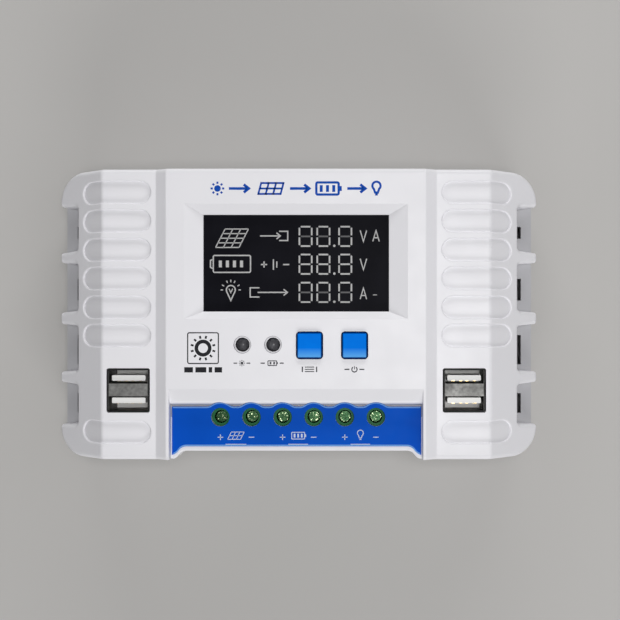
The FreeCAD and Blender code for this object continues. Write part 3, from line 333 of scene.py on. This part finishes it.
def glass_material():
    """Dark display glass with a faint blue cast and a little dust."""
    s = Shader("display_dark", 0.20, specular=0.003)
    shade = s.spread(s.noise(60.0), 0.35, 0.65, 0.0, 1.0)
    s.colour(s.mix(shade, (0.0075, 0.0075, 0.010), (0.0105, 0.0105, 0.014)))
    s.rough(s.spread(s.noise(900.0, 5.0), 0.45, 0.75, 0.14, 0.24))
    return s


def socket_material(side):
    """Drawn nickel-plated sheet, with painted shade where it rolls over round the stacked pair."""
    x, y = SOCKETS[side]
    s = metal("socket_nickel_" + side, (0.17, 0.17, 0.165), 0.50, (1, 1, 0.06), spread=0.25)
    reach = s.square_reach(x, y, SOCKET_EXTRA_Y)
    # Painted shade on the rolled-over edge of the shell.
    edge = s.spread(reach, (SOCKET_HALF - 0.3) * MM, SOCKET_HALF * MM, 0.0, 1.0)
    s.colour(s.mix(edge, s.base, (0.022, 0.022, 0.022)))
    return s


def clamp_screw_material():
    """Passivated zinc: dark olive green with small bright painted glints."""
    s = Shader("clamp_screw_plated", 0.3, metallic=1.0)
    patches = s.spread(s.noise(650.0, 2.0), 0.42, 0.58, 0.0, 1.0)
    # Painted glints: small bright spots scattered over the dark head.
    glint_mask = s.spread(s.cells(1500.0), 0.15, 0.38, 0.0, 1.0)
    glinted = s.mix(glint_mask, (0.44, 0.52, 0.32), (0.020, 0.045, 0.020))
    s.colour(s.mix(patches, glinted, (0.016, 0.040, 0.018)))
    s.rough(s.spread(s.noise(1400.0), 0.3, 0.7, 0.2, 0.42))
    s.bump(s.noise(1200.0), 0.35, 0.02)
    return s


def label_material():
    """Blue printed film with a slight orange-peel gloss."""
    s = Shader("label_blue", 0.40, specular=0.015)
    s.colour(s.mix(s.cloud(55.0, 4.0), (0.002, 0.078, 0.51), (0.003, 0.092, 0.57)))
    s.rough(s.spread(s.noise(300.0), 0.3, 0.7, 0.30, 0.40))
    s.bump(s.noise(1100.0, 2.0), 0.12, 0.01)
    return s


def transistor_material():
    """Black moulded body in front of a tinned tab, with tinned leads."""
    s = Shader("transistor")
    bare = s.maths("MAXIMUM", s.below("X", TRANSISTOR_TAB_X), s.below("Z", TRANSISTOR_LEAD_Z))
    epoxy = s.mix(s.noise(700.0), (0.012, 0.012, 0.013), (0.03, 0.03, 0.032))
    s.colour(s.mix(bare, epoxy, (0.62, 0.61, 0.58)))
    s.metal(bare)
    s.rough(s.spread(s.noise(400.0), 0.3, 0.7, 0.35, 0.5))
    s.bump(s.noise(2200.0), 0.3, 0.01)
    return s


def capacitor_material():
    """Dark sleeve with a pale stripe, and a bare aluminium top."""
    s = Shader("capacitor_sleeve", 0.3)
    top = s.above("Z", CAPACITOR_CAN_Z)
    sleeve = s.mix(s.noise(300.0), (0.008, 0.01, 0.03), (0.014, 0.017, 0.045))
    striped = s.mix(s.above("X", CAPACITOR_STRIPE_X), sleeve, (0.45, 0.47, 0.50))
    s.colour(s.mix(top, striped, (0.75, 0.75, 0.76)))
    s.metal(top)
    s.bump(s.noise(500.0), 0.2, 0.02)
    return s


def numbered(stem, count):
    return [stem + str(i) for i in range(1, count + 1)]


def dress_outside():
    """Materials of the nodes that show on the finished controller."""
    give(case_material(), "front_shell")
    give(plastic("case_grey", (0.42, 0.42, 0.44), roughness=0.46, spread=0.015), "rear_shell")
    give(label_material(), "label_film")
    give(glass_material(), "lcd_glass")
    give(lamp_material(), "led_left", "led_right")
    for side in ("left", "right"):
        give(button_material(*BUTTONS[side]), "button_cap_" + side)
        give(socket_material(side), "usb_shell_" + side)
    give(plastic("socket_white", (0.97, 0.97, 0.95), 0.4), "usb_insulator_left", "usb_insulator_right")
    give(metal("contact_gold", (0.78, 0.55, 0.22), 0.22), "usb_contacts")
    green = plastic("terminal_green", (0.008, 0.155, 0.050), 0.42, 0.10, specular=0.15)
    give(green, *numbered("terminal_block_", TERMINALS // 2))
    give(clamp_screw_material(), *numbered("terminal_screw_", TERMINALS))
    give(metal("cage_zinc", (0.58, 0.59, 0.60)), *numbered("clamp_cage_", TERMINALS))
    give(metal("contact_tinned", (0.66, 0.60, 0.50)), "terminal_contacts")
    give(metal("zinc_fixings", (0.60, 0.61, 0.63), 0.28), "case_screws", "display_board_screws",
         "main_board_screws", "mosfet_screws")


def dress_inside():
    """Materials of the display, the switches and both boards."""
    give(plastic("display_frame_white", (0.74, 0.74, 0.72)), "lcd_frame")
    give(plastic("backlight_diffuser", (0.82, 0.83, 0.86), 0.3), "lcd_backlight")
    give(metal("tinned_pins", (0.70, 0.69, 0.66)), "lcd_pins")
    give(board_material("main_board_green", MAIN_BOARD_TOP), "main_board")
    give(board_material("display_board_green", DISPLAY_BOARD_TOP), "display_board")
    black = plastic("switch_black", (0.016, 0.016, 0.017), 0.5, 0.15)
    give(black, "switch_body_left", "switch_body_right", "switch_plunger_left", "switch_plunger_right",
         "led_spacers", "fuse_holder", "link_socket")
    give(metal("dome_steel", (0.72, 0.71, 0.68), 0.22), "switch_dome_left", "switch_dome_right")
    give(metal("extruded_alloy", (0.74, 0.75, 0.76), 0.38, (1, 1, 0.05)), "heatsink")
    give(plastic("pad_grey", (0.24, 0.27, 0.31), 0.7, 0.06), "thermal_pads")
    give(transistor_material(), *numbered("mosfet_", 4))
    give(capacitor_material(), *numbered("capacitor_", 2))
    give(plastic("ferrite_grey", (0.045, 0.045, 0.05), 0.6, 0.15, depth=0.03), "inductor")
    give(metal("shunt_alloy", (0.55, 0.38, 0.26), 0.35), "current_shunt")
    give(two_part("fuse_orange", (0.62, 0.13, 0.01), (0.70, 0.16, 0.02), FUSE_BLADE_Z,
                  (0.68, 0.67, 0.64)), "fuse")
    give(two_part("chip_black", (0.012, 0.012, 0.013), (0.025, 0.025, 0.027), CHIP_PIN_Z,
                  (0.70, 0.69, 0.66)), "controller_ic")
    give(two_part("header_black", (0.012, 0.012, 0.013), (0.02, 0.02, 0.022), HEADER_PIN_Z,
                  (0.80, 0.60, 0.28)), "link_header")


# ---- Flat print pieces --------------------------------------------------------------------------
INK_SINK = 0.02           # how far a print sits in the surface under it, and above it
INK_RISE = 0.02
MITRE_LIMIT = 0.35


def unit(a, b):
    dx, dy = b[0] - a[0], b[1] - a[1]
    size = math.hypot(dx, dy)
    return dx / size, dy / size


def polar(x, y, r, a):
    """The point at distance r from (x, y) in direction a, in radians."""
    return x + r * math.cos(a), y + r * math.sin(a)


def arc(x, y, r, start, end, count=24):
    """Points on an arc from start to end, in degrees."""
    return [polar(x, y, r, math.radians(start + (end - start) * i / count)) for i in range(count + 1)]


def circle(x, y, r, count):
    return arc(x, y, r, 0, 360, count)[:-1]


def round_corners(x0, x1, y0, y1, radius):
    points = []
    for cx, cy, start in ((x1 - radius, y0 + radius, -90), (x1 - radius, y1 - radius, 0),
                          (x0 + radius, y1 - radius, 90), (x0 + radius, y0 + radius, 180)):
        points += arc(cx, cy, radius, start, start + 90, 6)
    return points


class Print:
    """Collects thin closed shapes in one plane and turns them into one piece."""

    def __init__(self, z):
        self.low = (z - INK_SINK) * MM
        self.high = (z + INK_RISE) * MM
        self.verts = []
        self.faces = []

    def strip(self, left, right, closed):
        """A band between two rows of points."""
        count = len(left)
        base = len(self.verts)
        for (lx, ly), (rx, ry) in zip(left, right):
            for x, y in ((lx, ly), (rx, ry)):
                self.verts.append((x * MM, y * MM, self.low))
                self.verts.append((x * MM, y * MM, self.high))
        steps = count if closed else count - 1
        for i in range(steps):
            a = base + 4 * i
            b = base + 4 * ((i + 1) % count)
            self.faces.append((a + 1, a + 3, b + 3, b + 1))
            self.faces.append((a, b, b + 2, a + 2))
            self.faces.append((a, a + 1, b + 1, b))
            self.faces.append((a + 2, b + 2, b + 3, a + 3))
        if not closed:
            end = base + 4 * (count - 1)
            self.faces.append((base, base + 2, base + 3, base + 1))
            self.faces.append((end, end + 1, end + 3, end + 2))

    def polygon(self, points):
        """A convex plate."""
        count = len(points)
        base = len(self.verts)
        self.verts += [(x * MM, y * MM, self.low) for x, y in points]
        self.verts += [(x * MM, y * MM, self.high) for x, y in points]
        self.faces.append(tuple(base + count + i for i in range(count)))
        self.faces.append(tuple(base + i for i in reversed(range(count))))
        for i in range(count):
            j = (i + 1) % count
            self.faces.append((base + i, base + j, base + count + j, base + count + i))

    def bar(self, x0, x1, y0, y1):
        self.polygon([(x0, y0), (x1, y0), (x1, y1), (x0, y1)])

    def disc(self, x, y, r, count=32):
        self.polygon(circle(x, y, r, count))

    def line(self, points, width, closed=False):
        """A line of constant width, mitred at its bends."""
        left, right = [], []
        count = len(points)
        for i, point in enumerate(points):
            before = points[i - 1] if closed or i > 0 else None
            after = points[(i + 1) % count] if closed or i < count - 1 else None
            into = unit(before, point) if before else unit(point, after)
            out = unit(point, after) if after else into
            normal = (-(into[1] + out[1]), into[0] + out[0])
            size = math.hypot(*normal)
            normal = (normal[0] / size, normal[1] / size)
            reach = width / 2 / max(MITRE_LIMIT, normal[0] * -into[1] + normal[1] * into[0])
            left.append((point[0] + normal[0] * reach, point[1] + normal[1] * reach))
            right.append((point[0] - normal[0] * reach, point[1] - normal[1] * reach))
        self.strip(left, right, closed)

    def dash(self, x0, x1, y, width):
        self.line([(x0, y), (x1, y)], width)

    def ray(self, x, y, near, far, a, width):
        """A short line that points away from (x, y)."""
        self.line([polar(x, y, near, a), polar(x, y, far, a)], width)

    def frame(self, x0, x1, y0, y1, width, radius):
        self.line(round_corners(x0, x1, y0, y1, radius), width, closed=True)

    def build(self, name, shader):
        mesh = bpy.data.meshes.new(name)
        mesh.from_pydata(self.verts, [], self.faces)
        mesh.validate()
        mesh.update()
        piece = bpy.data.objects.new(name, mesh)
        bpy.context.scene.collection.objects.link(piece)
        mesh.materials.append(shader.material)
        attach(piece, BODY)


# ---- Generic pictograms -------------------------------------------------------------------------
def draw_sun(art, x, y, r, width):
    rays = 8
    art.disc(x, y, r * 0.48)
    for i in range(rays):
        art.ray(x, y, r * 0.68, r, 2 * math.pi * i / rays, width)


def draw_battery(art, x, y, w, h, width, bars):
    art.frame(x - w / 2, x + w / 2, y - h / 2, y + h / 2, width, h * 0.12)
    art.bar(x + w / 2 + width / 2, x + w / 2 + width / 2 + h * 0.16, y - h * 0.2, y + h * 0.2)
    pitch = w * 0.84 / bars
    for i in range(bars):
        bx = x - w * 0.42 + pitch * (i + 0.5)
        art.bar(bx - pitch * 0.24, bx + pitch * 0.24, y - h * 0.28, y + h * 0.28)


def draw_bulb(art, x, y, h, width):
    r = h * 0.3
    foot = y - h / 2
    glass = arc(x, y + h / 2 - r, r, -50, 230, 28)
    neck_y = foot + h * 0.2
    art.line([(x + r * 0.35, neck_y)] + glass + [(x - r * 0.35, neck_y)], width, closed=True)
    art.dash(x - r * 0.32, x + r * 0.32, foot + h * 0.06, width)


def draw_arrow(art, x0, x1, y, head, width):
    """An arrow that points to the right."""
    art.dash(x0, x1 - head * 0.4, y, width)
    art.line([(x1 - head, y + head * 0.8), (x1, y), (x1 - head, y - head * 0.8)], width)


def draw_leaning_panel(art, x, y, w, h, lean, rows, cols, width):
    """A solar panel of rows by cols cells, seen at a slant."""
    first = x - w / 2 - lean / 2
    for i in range(rows + 1):
        t = i / rows
        art.dash(first + lean * t, first + lean * t + w, y - h / 2 + h * t, width)
    for i in range(cols + 1):
        left = first + w * i / cols
        art.line([(left, y - h / 2), (left + lean, y + h / 2)], width)


# ---- Prints on the white panel ------------------------------------------------------------------
TITLE_Y = 40.6


def title_panel(art, x):
    """The title's own solar panel, with its corner at x."""
    for i in range(3):
        art.dash(x + i * 0.55, x + 7.2 + i * 0.55, TITLE_Y - 1.75 + i * 1.75, 0.6)
    for i in range(4):
        foot = x + i * 2.4
        art.line([(foot, TITLE_Y - 2.05), (foot + 1.1, TITLE_Y + 2.05)], 0.6)


def title_marks():
    """A row of pictograms in place of a title: sun, panel, battery and bulb, joined by arrows."""
    head, stroke = 1.6, 0.85
    art = Print(PANEL_Z)
    draw_sun(art, -25.3, TITLE_Y, 2.2, 0.62)
    draw_arrow(art, -21.6, -15.2, TITLE_Y, head, stroke)
    title_panel(art, -12.2)
    draw_arrow(art, -1.9, 4.3, TITLE_Y, head, stroke)
    draw_battery(art, 10.2, TITLE_Y, 7.2, 3.9, 0.75, 3)
    draw_arrow(art, 16.6, 22.4, TITLE_Y, head, stroke)
    draw_bulb(art, 26.0, TITLE_Y, 4.4, 0.7)
    art.build("title_pictograms", ink("ink_blue", (0.006, 0.07, 0.42)))


def badge_marks():
    """A framed sun over a row of plain bars, in place of the badge."""
    x, y = -29.95, -10.9
    half = 4.95
    rays = 12
    art = Print(PANEL_Z)
    art.frame(x - half, x + half, y - half, y + half, 0.36, 0.55)
    art.line(circle(x, y, 2.15, 48), 1.15, closed=True)
    for i in range(rays):
        art.ray(x, y, 3.15, 4.05, math.radians(360 / rays * (i + 0.5)), 0.62)
    for x0, x1 in ((-36.0, -33.2), (-32.4, -28.9), (-28.1, -27.0), (-26.2, -23.8)):
        art.bar(x0, x1, -18.75, -17.05)
    art.build("badge_marks", ink("ink_black", (0.022, 0.022, 0.026)))


def legend_marks():
    """Small grey pictograms under the lamps and the buttons."""
    dash_w = 0.36
    art = Print(PANEL_Z)
    y = -15.75
    draw_sun(art, -17.4, y, 1.0, 0.30)
    art.dash(-20.1, -18.9, y, dash_w)
    art.dash(-15.9, -14.7, y, dash_w)
    draw_battery(art, -7.6, y, 2.8, 1.5, 0.30, 2)
    art.dash(-11.4, -10.0, y, dash_w)
    art.dash(-5.2, -3.9, y, dash_w)
    y = -17.75
    for i in range(3):
        foot = y - 0.85 + i * 0.72
        art.bar(2.9, 5.9, foot, foot + 0.28)
    art.bar(1.9, 2.3, y - 0.85, y + 0.87)
    art.bar(6.5, 6.9, y - 0.85, y + 0.87)
    art.line(arc(18.9, y, 0.85, 125, 415), dash_w)
    art.bar(18.77, 19.03, y, y + 1.05)
    art.dash(15.7, 17.3, y, 0.38)
    art.dash(20.5, 22.1, y, 0.38)
    art.build("legend_marks", ink("ink_grey", (0.075, 0.075, 0.085)))


# ---- Prints on the display ----------------------------------------------------------------------
DIGIT_W = 4.0
DIGIT_H = 6.3
DIGIT_XS = (3.0, 8.8, 15.9)
POINT_X = 12.35
ROWS_Y = (25.35, 16.3, 7.15)
UNIT_XS = (21.8, 25.9)
THIN = 0.34               # the display's line widths
THICK = 0.42
UNIT_W = 0.36
SIGN_W = 0.4


def draw_digit(art, faint, x, y, full):
    """One seven-segment figure; the middle bar is faint unless full."""
    half_w, half_h = DIGIT_W / 2, DIGIT_H / 2
    stroke, gap = 0.52, 0.34
    for side in (-1, 1):
        for end in (-1, 1):
            near, far = sorted((end * gap, end * (half_h - gap)))
            cx = x + side * half_w
            art.bar(cx - stroke / 2, cx + stroke / 2, y + near, y + far)
    for level in (-1, 0, 1):
        target = art if full or level else faint
        cy = y + level * half_h
        target.bar(x - half_w + gap + 0.1, x + half_w - gap - 0.1, cy - stroke / 2, cy + stroke / 2)


def draw_volt(art, x, y):
    art.line([(x - 1.05, y + 1.8), (x, y - 1.8), (x + 1.05, y + 1.8)], UNIT_W)


def draw_ampere(art, x, y):
    art.line([(x - 1.05, y - 1.8), (x, y + 1.8), (x + 1.05, y - 1.8)], UNIT_W)
    art.dash(x - 0.62, x + 0.62, y - 0.6, UNIT_W)


def battery_icon(art, x, y):
    art.frame(x - 5.7, x + 6.4, y - 2.75, y + 2.75, THICK, 0.5)
    art.line([(x - 5.9, y - 1.5), (x - 6.6, y - 1.1), (x - 6.6, y + 1.1), (x - 5.9, y + 1.5)], THICK)
    for i in range(4):
        cx = x - 3.4 + i * 2.3
        art.bar(cx - 0.5, cx + 0.5, y - 1.1, y + 1.1)


def lamp_icon(art, x, y):
    glass = arc(x, y + 0.5, 1.45, -25, 205)
    art.line(glass + [(x, y - 2.9)], SIGN_W, closed=True)
    art.line([(x - 0.6, y + 0.9), (x, y - 0.4), (x + 0.6, y + 0.9)], 0.3)
    for angle in (0, 30, 65, 90, 115, 150, 180):
        art.ray(x, y + 0.5, 2.5, 3.3, math.radians(angle), THIN)


def open_box(art, back, mouth, y):
    """Three sides of a box, with its back at one x and its mouth at the other."""
    half = 1.5
    art.line([(mouth, y + half), (back, y + half), (back, y - half), (mouth, y - half)], SIGN_W)


def polarity_icon(art, x, y):
    """Plus and minus on either side of the two plates of a cell."""
    art.dash(x - 4.6, x - 2.6, y, THICK)
    art.line([(x - 3.6, y - 1.0), (x - 3.6, y + 1.0)], THICK)
    art.bar(x - 0.75, x - 0.35, y - 1.7, y + 1.7)
    art.bar(x + 0.35, x + 0.75, y - 1.0, y + 1.0)
    art.dash(x + 2.6, x + 4.6, y, THICK)


def display_marks():
    """The lit figures and pictograms of the display."""
    art = Print(GLASS_Z)
    faint = Print(GLASS_Z)
    for row, y in enumerate(ROWS_Y):
        for x in DIGIT_XS:
            draw_digit(art, faint, x, y, row == 1)
        art.disc(POINT_X, y - DIGIT_H / 2 + 0.1, 0.40, 16)
    top, middle, bottom = ROWS_Y
    volt_x, ampere_x = UNIT_XS
    draw_volt(art, volt_x, top + 0.15)
    draw_ampere(art, ampere_x, top + 0.15)
    draw_volt(art, volt_x, middle)
    draw_ampere(art, volt_x, bottom - 0.4)
    art.bar(24.9, 26.2, bottom - 0.95, bottom - 0.68)
    draw_leaning_panel(art, -20.9, top - 0.6, 7.6, 6.0, 3.1, 4, 3, THIN)
    battery_icon(art, -21.3, middle + 0.1)
    lamp_icon(art, -21.3, bottom + 0.3)
    draw_arrow(art, -11.8, -5.2, top + 0.15, 1.25, SIGN_W)
    open_box(art, -2.8, -5.6, top + 0.15)
    polarity_icon(art, -6.9, middle - 0.1)
    open_box(art, -15.0, -12.0, bottom)
    draw_arrow(art, -12.6, -2.9, bottom, 1.25, SIGN_W)
    art.build("display_figures", ink("segment_lit", (0.50, 0.50, 0.50)))
    faint.build("display_figures_faint", ink("segment_faint", (0.13, 0.13, 0.135)))


# ---- Prints on the label, and its painted edge highlight ----------------------------------------
LABEL_SIGN_Y = -40.1
LABEL_ICON_Y = -39.6
LABEL_RULE_Y = -42.4
LABEL_STROKE = 0.26
# Width and inset of the painted highlight along the film's edges.
EDGE_HIGHLIGHT_W = 0.34
EDGE_HIGHLIGHT_INSET = 0.32


def label_marks():
    """White signs on the blue film: plus or minus under each clamp and an icon for each pair."""
    art = Print(LABEL_Z)
    reach = 0.9
    for i, x in enumerate(SCREW_XS):
        art.dash(x - reach, x + reach, LABEL_SIGN_Y, LABEL_STROKE)
        if i % 2 == 0:
            art.line([(x, LABEL_SIGN_Y - reach), (x, LABEL_SIGN_Y + reach)], LABEL_STROKE)
    panel_x, battery_x, bulb_x = [(SCREW_XS[i] + SCREW_XS[i + 1]) / 2 for i in (0, 2, 4)]
    draw_leaning_panel(art, panel_x, LABEL_ICON_Y, 4.2, 2.4, 1.2, 2, 3, 0.22)
    draw_battery(art, battery_x, LABEL_ICON_Y, 4.2, 2.2, LABEL_STROKE, 3)
    draw_bulb(art, bulb_x, LABEL_ICON_Y + 0.2, 3.2, LABEL_STROKE)
    for x, half in ((panel_x, 3.4), (battery_x, 3.2), (bulb_x, 3.2)):
        art.dash(x - half, x + half, LABEL_RULE_Y, 0.2)
    art.build("label_signs", ink("ink_white", (0.62, 0.68, 0.80)))


def recess_curve():
    """The film's lower right corner: two equal arcs."""
    count = 10
    (x0, y0), (x1, y1) = RECESS_START, RECESS_END
    across = x1 - x0
    turn = 2 * math.atan2(y0 - y1, across)
    radius = across / 2 / math.sin(turn)
    points = []
    for i in range(count + 1):
        a = turn * i / count
        points.append((x0 + radius * math.sin(a), y0 - radius * (1 - math.cos(a))))
    for i in range(1, count + 1):
        a = turn * (1 - i / count)
        points.append((x1 - radius * math.sin(a), y1 + radius * (1 - math.cos(a))))
    return points


def label_edge_highlight():
    """A painted highlight: a pale blue line just inside the film's scalloped top and its lower edge.
    """
    art = Print(LABEL_Z)
    half = LABEL_HALF_X - EDGE_HIGHLIGHT_INSET
    up = LABEL_TOP_Y + BLEND_R - SCREW_Y
    out = math.sqrt((ARCH_R + BLEND_R) ** 2 - up ** 2)
    lean = math.degrees(math.atan2(up, out))
    blend_y = LABEL_TOP_Y + BLEND_R - EDGE_HIGHLIGHT_INSET
    top = [(-half, LABEL_TOP_Y - EDGE_HIGHLIGHT_INSET)]
    for x in SCREW_XS:
        top += arc(x - out, blend_y, BLEND_R, -90, -lean, 6)[:-1]
        top += arc(x, SCREW_Y - EDGE_HIGHLIGHT_INSET, ARCH_R, 180 - lean, lean, 14)
        top += arc(x + out, blend_y, BLEND_R, lean - 180, -90, 6)[1:]
    top.append((half, LABEL_TOP_Y - EDGE_HIGHLIGHT_INSET))
    art.line(top, EDGE_HIGHLIGHT_W)
    right = [(x, y + EDGE_HIGHLIGHT_INSET) for x, y in recess_curve() if x < half]
    left = [(-x, y) for x, y in reversed(right)]
    art.line(left + right, EDGE_HIGHLIGHT_W * 1.3)
    art.build("label_edge_highlight", ink("edge_highlight_pale_blue", (0.16, 0.36, 0.72)))


# ---- Stage, in metres ---------------------------------------------------------------------------
EYE = (0.020, -0.0015, 0.422)
SENSOR = 36.0             # sensor and lens in millimetres
LENS = 68.4
SHIFT = (-0.0772, 0.0145)
AIM = (0.0, 0.0, 0.03)
FLOOR_HALF = 1.5
SKY = (0.95, 0.97, 1.0, 1.0)
SKY_STRENGTH = 0.13

# name, place, width and height, watts, colour
LIGHTS = (
    ("overhead", (0.08, 0.0, 0.95), (0.30, 0.26), 3.65, (1.0, 0.99, 0.985)),
    ("rim", (0.06, 0.75, 0.28), (0.80, 0.20), 3.5, (1.0, 1.0, 1.0)),
    ("front", (0.16, -0.90, 0.46), (0.80, 0.30), 5.0, (1.0, 1.0, 1.0)),
)


def floor():
    mesh = bpy.data.meshes.new("floor")
    corners = [(x * FLOOR_HALF, y * FLOOR_HALF, 0) for x, y in ((-1, -1), (1, -1), (1, 1), (-1, 1))]
    mesh.from_pydata(corners, [], [(0, 1, 2, 3)])
    piece = bpy.data.objects.new("floor", mesh)
    bpy.context.scene.collection.objects.link(piece)
    s = Shader("floor_pale", 0.8, specular=0.2)
    s.colour(s.mix(s.noise(6.0), (0.50, 0.49, 0.475), (0.53, 0.52, 0.505)))
    mesh.materials.append(s.material)


def world():
    sky = bpy.data.worlds.new("studio")
    bpy.context.scene.world = sky
    sky.use_nodes = True
    background = sky.node_tree.nodes["Background"]
    background.inputs["Color"].default_value = SKY
    background.inputs["Strength"].default_value = SKY_STRENGTH


def camera():
    data = bpy.data.cameras.new("camera")
    data.sensor_width = SENSOR
    data.lens = LENS
    data.shift_x, data.shift_y = SHIFT
    eye = bpy.data.objects.new("camera", data)
    bpy.context.scene.collection.objects.link(eye)
    eye.location = EYE
    bpy.context.scene.camera = eye


def lights():
    bpy.context.scene.view_settings.view_transform = "Standard"
    for name, place, size, watts, colour in LIGHTS:
        data = bpy.data.lights.new(name, "AREA")
        data.shape = "RECTANGLE"
        data.size, data.size_y = size
        data.energy = watts
        data.color = colour
        lamp = bpy.data.objects.new(name, data)
        bpy.context.scene.collection.objects.link(lamp)
        lamp.location = place
        lamp.rotation_mode = "QUATERNION"
        lamp.rotation_quaternion = (Vector(AIM) - Vector(place)).to_track_quat("-Z", "Y")


dress_outside()
dress_inside()
title_marks()
badge_marks()
legend_marks()
display_marks()
label_marks()
label_edge_highlight()
floor()
world()
camera()
lights()
